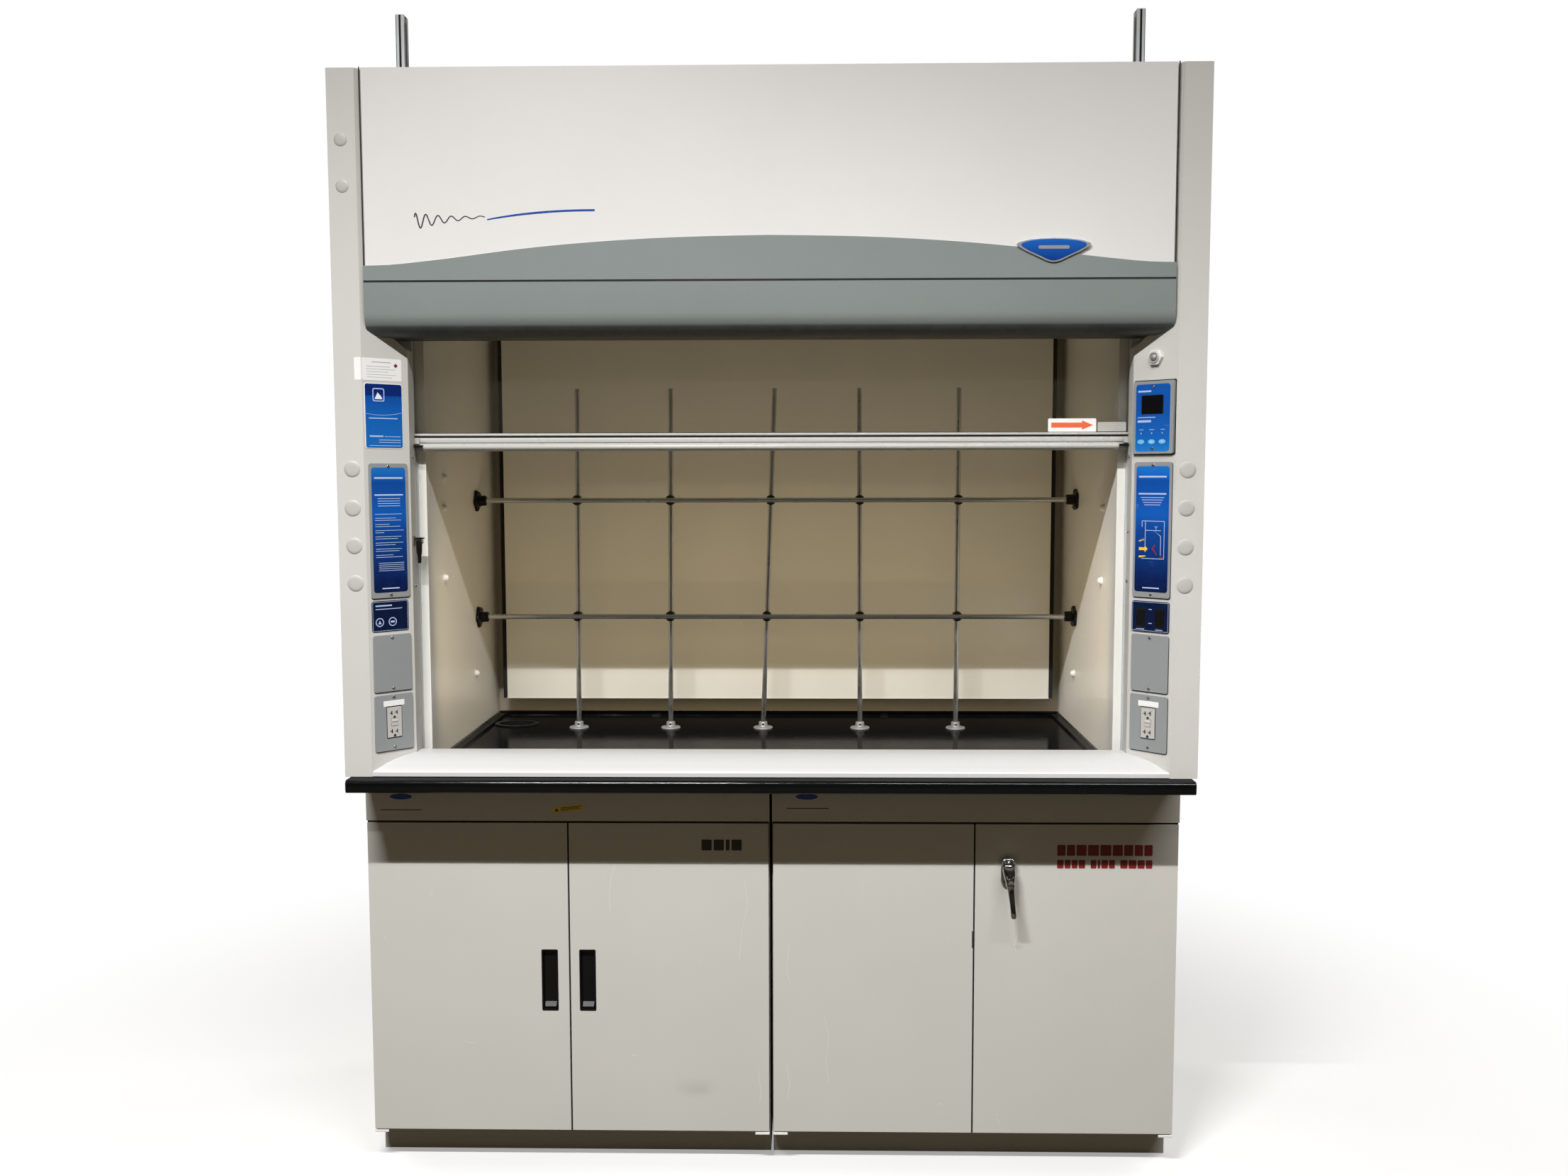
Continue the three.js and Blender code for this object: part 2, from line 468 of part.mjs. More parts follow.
function door(x0, x1, hinge, pocket) {
  const t = 2, y0 = DOOR_FRONT, y1 = DOOR_FRONT + DOOR_T, [z0, z1] = DOOR_Z;
  let d = cut(box(x0, x1, y0, y1, z0, z1), box(x0 + t, x1 - t, y0 + t, y1 - t, z0 + t, z1 - t),
    cylZ(4, z0 - 3, z0 + 5, hinge, PIVOT_Y, 14), cylZ(4, z1 - 5, z1 + 3, hinge, PIVOT_Y, 14));
  if (pocket) {
    const [p, q] = pocket;
    d = cut(all(d, box(p - 1.5, q + 1.5, y0 + 1, y0 + 15, 309.5, 450.5)), box(p, q, y0 - 3, y0 + 13.5, 311, 449));
  }
  return d;
}
const [SPLIT_IN, SPLIT_OUT] = DOOR_SPLIT;
const OUTER_PIVOT = DOOR_EDGE - PIVOT_IN;
node("door_left_outer", door(-DOOR_EDGE, -SPLIT_OUT, -OUTER_PIVOT, [-519.5, -486.5]), M.cabinet);
node("door_left_inner", door(-SPLIT_IN, -5, -15, [-433.5, -400.5]), M.cabinet);
node("door_right_inner", door(5, SPLIT_IN, 15), M.cabinet);
node("door_right_outer", door(SPLIT_OUT, DOOR_EDGE, OUTER_PIVOT), M.cabinet);

// chrome lever latch on the right outer door
const LX = 531, LZ = 643;
const LEVER_LEAN = 4.5; // degrees, the grip's lower end towards the hinge side
node("latch_escutcheon", prismY(roundedRect(LX - 14.5, LX + 14.5, 603.5, 670, 13.5, 5), DOOR_FRONT - 8, DOOR_FRONT - GAP), M.chrome);
{
  const c = Math.cos((LEVER_LEAN * Math.PI) / 180), n = Math.sin((LEVER_LEAN * Math.PI) / 180);
  const lean = ([x, z]) => [LX + (x - LX) * c - (z - LZ) * n, LZ + (x - LX) * n + (z - LZ) * c];
  const side = prismX([[107, 660], [93, 661], [84, 645], [73, 605], [LEVER_FRONT, 557], [LEVER_FRONT, 549.5], [71, 545.5], [76, 547.5], [83, 596], [95, 628], [107, 632]], LX - 30, LX + 30);
  const front = prismY([[LX - 12, 666], [LX + 12, 666], [LX + 12, 632], [LX + 7, 606], [LX + 5.6, 541], [LX - 5.6, 541], [LX - 7, 606], [LX - 12, 632]].map(lean), 40, 130);
  node("latch_lever", all(side.intersect(front), cylY(11.4, 93, DOOR_FRONT - 8.3, LX, LZ, 24)), M.chrome);
}

group.position.set(0, -Y_CENTRE, -FLOOR);
export default group;
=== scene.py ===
# Looks for the bench fume hood: pieces, procedural materials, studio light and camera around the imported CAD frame.
import math

import bmesh
import bpy
from mathutils import Matrix, Vector


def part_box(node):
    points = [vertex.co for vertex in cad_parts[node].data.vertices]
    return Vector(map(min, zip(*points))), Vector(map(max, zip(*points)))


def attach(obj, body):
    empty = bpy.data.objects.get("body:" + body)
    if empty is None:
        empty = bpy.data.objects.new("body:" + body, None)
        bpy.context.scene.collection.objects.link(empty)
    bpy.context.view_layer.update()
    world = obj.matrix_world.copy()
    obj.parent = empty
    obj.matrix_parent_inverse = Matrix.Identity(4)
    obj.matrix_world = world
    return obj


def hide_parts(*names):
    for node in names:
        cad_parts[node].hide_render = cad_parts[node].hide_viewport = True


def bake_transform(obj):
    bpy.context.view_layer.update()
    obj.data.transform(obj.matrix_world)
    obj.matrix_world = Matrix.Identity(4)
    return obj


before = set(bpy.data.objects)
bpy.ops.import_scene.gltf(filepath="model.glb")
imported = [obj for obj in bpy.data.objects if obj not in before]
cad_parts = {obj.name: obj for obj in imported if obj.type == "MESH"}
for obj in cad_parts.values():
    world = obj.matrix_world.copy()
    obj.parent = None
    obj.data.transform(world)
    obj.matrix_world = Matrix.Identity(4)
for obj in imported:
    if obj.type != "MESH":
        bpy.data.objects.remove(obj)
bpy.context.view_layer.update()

YC = -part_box("corner_post_left")[0].y * 1000.0  # depth of the posts' front face ahead of the origin, mm
ZF = 876.0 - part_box("work_surface")[1].z * 1000.0  # floor level when the work surface is called 876, mm
SCENE = bpy.context.scene
AMBIENT, AMBIENT_STRENGTH = (1.0, 0.78, 0.48), 0.055
S2 = math.sqrt(0.5)


def P(x, y, z):
    """Millimetres with y = 0 on the posts' front face and the work surface at 876, to the row frame in metres."""
    return Vector((x / 1000.0, (y - YC) / 1000.0, (z - ZF) / 1000.0))


# ------------------------------------------------------------------ materials
def nodes_of(m):
    m.use_nodes = True
    t = m.node_tree
    t.nodes.clear()
    out = t.nodes.new("ShaderNodeOutputMaterial")
    b = t.nodes.new("ShaderNodeBsdfPrincipled")
    t.links.new(b.outputs["BSDF"], out.inputs["Surface"])
    return t, b


def noise(t, vec, scale, detail=3.0, rough=0.55, distortion=0.0):
    n = t.nodes.new("ShaderNodeTexNoise")
    n.inputs["Scale"].default_value = scale
    n.inputs["Detail"].default_value = detail
    n.inputs["Roughness"].default_value = rough
    n.inputs["Distortion"].default_value = distortion
    t.links.new(vec, n.inputs["Vector"])
    return n.outputs["Fac"]


def span(t, value, a, b, c, d, smooth=False):
    n = t.nodes.new("ShaderNodeMapRange")
    n.interpolation_type = "SMOOTHSTEP" if smooth else "LINEAR"
    for k, v in zip(("From Min", "From Max", "To Min", "To Max"), (a, b, c, d)):
        n.inputs[k].default_value = v
    t.links.new(value, n.inputs["Value"])
    return n.outputs["Result"]


def math_node(t, op, a, b):
    n = t.nodes.new("ShaderNodeMath")
    n.operation = op
    n.use_clamp = True
    for i, v in enumerate((a, b)):
        if isinstance(v, (int, float)):
            n.inputs[i].default_value = v
        else:
            t.links.new(v, n.inputs[i])
    return n.outputs[0]


def mix(t, fac, a, b, blend="MIX"):
    n = t.nodes.new("ShaderNodeMix")
    n.data_type = "RGBA"
    n.blend_type = blend
    n.clamp_factor = True
    if isinstance(fac, (int, float)):
        n.inputs[0].default_value = fac
    else:
        t.links.new(fac, n.inputs[0])
    for i, v in ((6, a), (7, b)):
        if isinstance(v, tuple):
            n.inputs[i].default_value = (*v, 1.0) if len(v) == 3 else v
        else:
            t.links.new(v, n.inputs[i])
    return n.outputs[2]


def stretch(t, vec, sx, sy, sz):
    n = t.nodes.new("ShaderNodeMapping")
    n.inputs["Scale"].default_value = (sx, sy, sz)
    t.links.new(vec, n.inputs["Vector"])
    return n.outputs["Vector"]


def shade(c, k):
    return tuple(min(1.0, max(0.0, v * k)) for v in c)


def make(name, base, rough=0.4, metal=0.0, var=0.04, rough_var=0.06, peel=0.05, peel_scale=900.0, crevice_dust_and_shade=0.0,
         crevice_dust_and_shade_color=(0.16, 0.13, 0.09), wear=0.0, wear_color=None, scuff=0.0, coat=0.0, spec=0.5, gradient=None,
         brushed=None, alpha=1.0, fine=0.0, emission=None):
    """A procedural finish: slow mottling, fine texture, orange peel, dust with painted shade in corners, rubbed edges
    and faint scuffs.
    """
    m = bpy.data.materials.new(name)
    t, b = nodes_of(m)
    tc = t.nodes.new("ShaderNodeTexCoord")
    vec = tc.outputs["Object"]
    slow = noise(t, vec, 3.1, 3.0, 0.5)
    mid = noise(t, vec, 42.0, 4.0, 0.6)
    if gradient:
        z0, z1, stops = gradient
        sep = t.nodes.new("ShaderNodeSeparateXYZ")
        t.links.new(vec, sep.inputs[0])
        ramp = t.nodes.new("ShaderNodeValToRGB")
        t.links.new(span(t, sep.outputs["Z"], z0 - ZF / 1000.0, z1 - ZF / 1000.0, 0.0, 1.0), ramp.inputs["Fac"])
        els = ramp.color_ramp.elements
        els[0].position, els[0].color = stops[0][0], (*stops[0][1], 1)
        els[1].position, els[1].color = stops[-1][0], (*stops[-1][1], 1)
        for pos, col in stops[1:-1]:
            e = els.new(pos)
            e.color = (*col, 1)
        color = ramp.outputs["Color"]
        dark, light = mix(t, 0.5, color, shade(base, 0.8), "MULTIPLY"), color
        color = mix(t, span(t, slow, 0.3, 0.7, 0.0, var * 4), light, dark)
    else:
        color = mix(t, span(t, slow, 0.3, 0.7, 0.0, 1.0), shade(base, 1.0 - var), shade(base, 1.0 + var))
    color = mix(t, span(t, mid, 0.35, 0.75, 0.0, min(1.0, var * 5)), color, shade(base, 1.0 - 1.6 * var))
    rough_out = span(t, mid, 0.3, 0.7, max(0.02, rough - rough_var), rough + rough_var)
    if scuff:
        marks = noise(t, stretch(t, vec, 9.0, 9.0, 2.2), 7.0, 6.0, 0.72, 1.6)
        spots = noise(t, stretch(t, vec, 3.0, 3.0, 14.0), 5.0, 5.0, 0.7, 0.8)
        both = math_node(t, "MULTIPLY", span(t, marks, 0.63, 0.67, 0.0, 1.0), span(t, spots, 0.5, 0.62, 0.0, scuff))
        color = mix(t, both, color, shade(base, 1.22))
        rough_out = math_node(t, "ADD", rough_out, math_node(t, "MULTIPLY", both, 0.25))
    if fine:
        speck = noise(t, vec, 1600.0, 2.0, 0.5)
        color = mix(t, span(t, speck, 0.45, 0.7, 0.0, fine), color, shade(base, 1.5))
    # painted shade with some dust: an ambient-occlusion mask darkens crevices and corners towards a warm brown, patchy
    # by noise
    if crevice_dust_and_shade:
        ao = t.nodes.new("ShaderNodeAmbientOcclusion")
        ao.samples = 6
        ao.only_local = True
        ao.inputs["Distance"].default_value = 0.018
        crevice_dust_and_shade_mask = math_node(t, "MULTIPLY", span(t, ao.outputs["AO"], 0.35, 0.95, crevice_dust_and_shade, 0.0), span(t, mid, 0.25, 0.6, 0.35, 1.0))
        color = mix(t, crevice_dust_and_shade_mask, color, crevice_dust_and_shade_color)
    if wear:
        geo = t.nodes.new("ShaderNodeNewGeometry")
        bev = t.nodes.new("ShaderNodeBevel")
        bev.samples = 4
        bev.inputs["Radius"].default_value = 0.0016
        dot = t.nodes.new("ShaderNodeVectorMath")
        dot.operation = "DOT_PRODUCT"
        t.links.new(bev.outputs["Normal"], dot.inputs[0])
        t.links.new(geo.outputs["Normal"], dot.inputs[1])
        edge = span(t, dot.outputs["Value"], 0.98, 0.86, 0.0, wear)
        edge = math_node(t, "MULTIPLY", edge, span(t, mid, 0.35, 0.65, 0.2, 1.0))
        color = mix(t, edge, color, wear_color or shade(base, 1.25))
    if brushed:
        lines = noise(t, stretch(t, vec, *brushed), 60.0, 3.0, 0.6)
        rough_out = math_node(t, "ADD", rough_out, span(t, lines, 0.3, 0.7, 0.0, 0.16))
        color = mix(t, span(t, lines, 0.3, 0.7, 0.0, 0.35), color, shade(base, 0.72))
    t.links.new(color, b.inputs["Base Color"])
    t.links.new(rough_out, b.inputs["Roughness"])
    b.inputs["Metallic"].default_value = metal
    b.inputs["Specular IOR Level"].default_value = spec
    b.inputs["Coat Weight"].default_value = coat
    b.inputs["Coat Roughness"].default_value = 0.06
    b.inputs["Alpha"].default_value = alpha
    if emission:
        b.inputs["Emission Color"].default_value = (*emission[0], 1)
        b.inputs["Emission Strength"].default_value = emission[1]
    if peel:
        bump = t.nodes.new("ShaderNodeBump")
        bump.inputs["Strength"].default_value = peel
        bump.inputs["Distance"].default_value = 0.0006
        t.links.new(noise(t, vec, peel_scale, 2.0, 0.5), bump.inputs["Height"])
        t.links.new(bump.outputs["Normal"], b.inputs["Normal"])
    m.diffuse_color = (*base, 1)
    return m


BLUE_HI, BLUE, NAVY = (0.013, 0.17, 0.56), (0.005, 0.07, 0.34), (0.003, 0.009, 0.042)
M = {
    "header": make("header_enamel", (0.735, 0.727, 0.712), 0.38, var=0.012, peel=0.07, crevice_dust_and_shade=0.18, wear=0.15),
    "grey": make("slate_enamel", (0.205, 0.232, 0.226), 0.46, var=0.03, peel=0.12, peel_scale=1300, fine=0.10, crevice_dust_and_shade=0.3, wear=0.3),
    # visor: the colour ramps from grey to near black down its lowest rounded part, a painted shade on the underside
    "visor": make("visor_enamel_shaded_underside", (0.205, 0.232, 0.226), 0.46, var=0.03, peel=0.12, peel_scale=1300, fine=0.10, crevice_dust_and_shade=0.3, wear=0.3, gradient=(1.817, 1.853, [(0.0, (0.024, 0.027, 0.026)), (0.48, (0.055, 0.062, 0.060)), (0.62, (0.18, 0.205, 0.20)), (1.0, (0.205, 0.232, 0.226))])),
    "post": make("post_enamel", (0.572, 0.565, 0.532), 0.42, var=0.02, peel=0.10, peel_scale=700, crevice_dust_and_shade=0.35, wear=0.2, scuff=0.1),
    "cabinet": make("cabinet_enamel", (0.585, 0.574, 0.534), 0.40, var=0.02, peel=0.08, peel_scale=800, crevice_dust_and_shade=0.5, wear=0.45, wear_color=(0.78, 0.77, 0.73), scuff=0.4),
    "liner": make("liner_resin", (0.86, 0.845, 0.79), 0.34, var=0.025, peel=0.12, peel_scale=260, crevice_dust_and_shade=0.3, scuff=0.05),
    "baffle": make("baffle_resin", (0.68, 0.665, 0.605), 0.40, var=0.03, peel=0.15, peel_scale=260, crevice_dust_and_shade=0.35, fine=0.05),
    "nylon": make("white_nylon", (0.80, 0.795, 0.77), 0.42, var=0.01, peel=0.05, crevice_dust_and_shade=0.15),
    # rear liner: the liner resin made much darker, a painted shade for the back of the chamber
    "liner_rear_shaded": make("rear_liner_resin_shaded_copy", (0.46, 0.42, 0.34), 0.42, var=0.04, peel=0.12, peel_scale=260, crevice_dust_and_shade=0.3),
    # sill: a little lighter along the low front lip than on the top behind it, a painted highlight on the lit lip
    "sill": make("sill_enamel", (0.545, 0.545, 0.535), 0.36, var=0.01, peel=0.06, crevice_dust_and_shade=0.12, wear=0.1, gradient=(0.884, 0.896, [(0.0, (0.60, 0.598, 0.588)), (0.45, (0.585, 0.583, 0.573)), (1.0, (0.535, 0.535, 0.53))])),
    "handle": make("handle_enamel", (0.49, 0.487, 0.462), 0.30, var=0.015, peel=0.04, crevice_dust_and_shade=0.4),
    "epoxy": make("black_epoxy", (0.003, 0.0035, 0.004), 0.13, var=0.2, rough_var=0.05, peel=0.03, peel_scale=240, spec=0.32, coat=0.08, wear=0.3, wear_color=(0.05, 0.05, 0.05), scuff=0.12),
    "sink": make("sink_polymer", (0.010, 0.010, 0.011), 0.32, var=0.2, rough_var=0.1, peel=0.1, peel_scale=400),
    "plate": make("plate_enamel", (0.262, 0.275, 0.278), 0.42, var=0.03, peel=0.14, peel_scale=1500, fine=0.12, crevice_dust_and_shade=0.3, wear=0.35, wear_color=(0.5, 0.5, 0.5)),
    "plug": make("plug_polymer", (0.47, 0.465, 0.43), 0.45, var=0.03, peel=0.10, peel_scale=1500, crevice_dust_and_shade=0.5),
    "navy": make("navy_overlay", NAVY, 0.24, var=0.10, peel=0.03, coat=0.3, wear=0.3, wear_color=(0.12, 0.14, 0.25)),
    "device": make("device_polymer", (0.50, 0.49, 0.46), 0.34, var=0.02, peel=0.05, crevice_dust_and_shade=0.3),
    "button": make("button_polymer", (0.62, 0.57, 0.54), 0.36, var=0.03, peel=0.05, crevice_dust_and_shade=0.2),
    "white": make("label_stock", (0.84, 0.84, 0.83), 0.35, var=0.015, peel=0.03, crevice_dust_and_shade=0.15),
    "ink": make("label_ink", (0.46, 0.56, 0.76), 0.35, var=0.03, peel=0.0),
    "greyink": make("label_grey_ink", (0.38, 0.36, 0.36), 0.4, var=0.05, peel=0.0),
    "paleblue": make("key_blue", (0.16, 0.52, 0.80), 0.3, var=0.05, peel=0.02),
    "black": make("black_polymer", (0.0045, 0.0045, 0.005), 0.36, var=0.2, rough_var=0.08, peel=0.12, peel_scale=1200, wear=0.2, wear_color=(0.04, 0.04, 0.04), spec=0.35),
    "gap": make("shadow_gasket", (0.006, 0.006, 0.006), 0.8, var=0.1, peel=0.05),
    "screen": make("display_window", (0.004, 0.004, 0.005), 0.12, var=0.1, rough_var=0.03, peel=0.0, coat=0.4),
    "dark": make("dark_steel", (0.03, 0.03, 0.032), 0.42, metal=0.85, var=0.15, peel=0.1, peel_scale=500, wear=0.4, wear_color=(0.15, 0.15, 0.15)),
    "rod": make("satin_stainless", (0.74, 0.74, 0.72), 0.27, metal=1.0, var=0.06, peel=0.03, brushed=(9.0, 9.0, 0.35)),
    "rodx": make("satin_stainless_across", (0.74, 0.74, 0.72), 0.27, metal=1.0, var=0.06, peel=0.03, brushed=(0.35, 9.0, 9.0)),
    "flange": make("cast_grey", (0.30, 0.31, 0.31), 0.46, metal=0.35, var=0.08, peel=0.3, peel_scale=700, crevice_dust_and_shade=0.4),
    "steel": make("galvanised_steel", (0.46, 0.47, 0.475), 0.36, metal=1.0, var=0.1, rough_var=0.1, peel=0.05, brushed=(6.0, 6.0, 0.5)),
    "screw": make("screw_steel", (0.42, 0.42, 0.41), 0.25, metal=1.0, var=0.06, peel=0.05, crevice_dust_and_shade=0.3),
    "wire": make("wire_rope", (0.36, 0.36, 0.35), 0.35, metal=1.0, var=0.1, peel=0.6, peel_scale=900),
    "chrome": make("polished_chrome", (0.50, 0.50, 0.495), 0.05, metal=1.0, var=0.015, rough_var=0.025, peel=0.01, peel_scale=300),
    "track": make("track_extrusion", (0.68, 0.71, 0.72), 0.42, metal=0.15, var=0.04, peel=0.05, brushed=(7.0, 7.0, 0.3)),
    "scratch": make("scratched_enamel", (0.74, 0.725, 0.68), 0.5, var=0.05, peel=0.05),
    "red": make("marker_red", (0.22, 0.012, 0.014), 0.45, var=0.06, peel=0.03),
    "orange": make("arrow_orange", (0.80, 0.14, 0.045), 0.4, var=0.04, peel=0.03, gradient=None),
    "yellow": make("tape_yellow", (0.78, 0.60, 0.05), 0.42, var=0.05, peel=0.04),
    "amber": make("diagram_amber", (0.85, 0.55, 0.04), 0.4, var=0.03, peel=0.0),
    "darkink": make("dark_marker", (0.03, 0.028, 0.027), 0.5, var=0.1, peel=0.0),
    "diffuser": make("light_diffuser", (0.85, 0.85, 0.83), 0.5, var=0.01, peel=0.1, peel_scale=400),
    "badge_blue": make("badge_blue", (0.004, 0.075, 0.50), 0.2, var=0.05, peel=0.02, coat=0.5, gradient=(1.965, 2.008, [(0.0, (0.003, 0.035, 0.24)), (1.0, (0.011, 0.13, 0.52))])),
    "stroke_blue": make("stroke_blue", (0.002, 0.06, 0.34), 0.3, var=0.05, peel=0.02),
    "badge_oval": make("badge_oval", (0.004, 0.05, 0.32), 0.3, var=0.05, peel=0.02),
    "badge_rim": make("badge_rim", (0.62, 0.66, 0.69), 0.18, metal=0.6, var=0.02, peel=0.02),
    "brand_blue": make("panel_blue", BLUE, 0.22, var=0.02, peel=0.02, coat=0.35, gradient=(1.582, 1.719, [(0.0, (0.010, 0.15, 0.52)), (0.55, (0.007, 0.115, 0.45)), (0.80, (0.005, 0.075, 0.36)), (0.82, (0.003, 0.02, 0.16)), (1.0, (0.003, 0.018, 0.14))])),
    "service_blue": make("overlay_blue", BLUE, 0.22, var=0.02, peel=0.02, coat=0.35, gradient=(1.272, 1.542, [(0.0, NAVY), (0.10, (0.003, 0.010, 0.07)), (0.5, (0.005, 0.055, 0.28)), (0.62, (0.007, 0.10, 0.44)), (0.88, (0.005, 0.065, 0.32)), (0.92, (0.008, 0.12, 0.48)), (1.0, BLUE_HI)])),
    "monitor_blue": make("monitor_blue", BLUE, 0.22, var=0.02, peel=0.02, coat=0.35, gradient=(1.572, 1.714, [(0.0, (0.013, 0.20, 0.60)), (0.2, (0.008, 0.12, 0.47)), (0.6, (0.006, 0.08, 0.37)), (1.0, (0.006, 0.09, 0.40))])),
}


def glass_material():
    """Clear pane with a faint film; light from the key loses most of its strength on the way through."""
    m = bpy.data.materials.new("clear_glass")
    t, b = nodes_of(m)
    tc = t.nodes.new("ShaderNodeTexCoord")
    film = noise(t, stretch(t, tc.outputs["Object"], 1.0, 1.0, 2.5), 5.0, 5.0, 0.65, 0.4)
    t.links.new(mix(t, span(t, film, 0.3, 0.7, 0.0, 1.0), (0.20, 0.195, 0.165), (0.26, 0.25, 0.21)), b.inputs["Base Color"])
    t.links.new(span(t, film, 0.3, 0.7, 0.02, 0.06), b.inputs["Roughness"])
    b.inputs["IOR"].default_value = 1.5
    b.inputs["Specular IOR Level"].default_value = 0.8
    path = t.nodes.new("ShaderNodeLightPath")
    clear = t.nodes.new("ShaderNodeBsdfTransparent")
    clear.inputs["Color"].default_value = (0.10, 0.10, 0.095, 1)
    sel = t.nodes.new("ShaderNodeMixShader")
    out = [n for n in t.nodes if n.type == "OUTPUT_MATERIAL"][0]
    sep = t.nodes.new("ShaderNodeSeparateXYZ")
    t.links.new(tc.outputs["Object"], sep.inputs[0])
    thin = span(t, sep.outputs["Z"], 2.34, 2.40, 0.045, 0.0)
    t.links.new(thin, b.inputs["Alpha"])
    t.links.new(path.outputs["Is Shadow Ray"], sel.inputs[0])
    t.links.new(b.outputs["BSDF"], sel.inputs[1])
    t.links.new(clear.outputs["BSDF"], sel.inputs[2])
    t.links.new(sel.outputs["Shader"], out.inputs["Surface"])
    m.diffuse_color = (0.8, 0.85, 0.83, 0.2)
    return m


M["glass"] = glass_material()


def soften(m, keep, base):
    """Mix a plain dark base under the coat on the flat top, so it mirrors less than the rounded edge."""
    t = m.node_tree
    out = [n for n in t.nodes if n.type == "OUTPUT_MATERIAL"][0]
    top = out.inputs["Surface"].links[0].from_socket
    flat = t.nodes.new("ShaderNodeBsdfDiffuse")
    flat.inputs["Color"].default_value = (*base, 1)
    sel = t.nodes.new("ShaderNodeMixShader")
    geo, sep = t.nodes.new("ShaderNodeNewGeometry"), t.nodes.new("ShaderNodeSeparateXYZ")
    t.links.new(geo.outputs["Normal"], sep.inputs[0])
    t.links.new(span(t, sep.outputs["Z"], 0.90, 0.985, 1.0, keep), sel.inputs[0])
    t.links.new(flat.outputs["BSDF"], sel.inputs[1])
    t.links.new(top, sel.inputs[2])
    t.links.new(sel.outputs["Shader"], out.inputs["Surface"])


soften(M["epoxy"], 0.30, (0.004, 0.0045, 0.005))


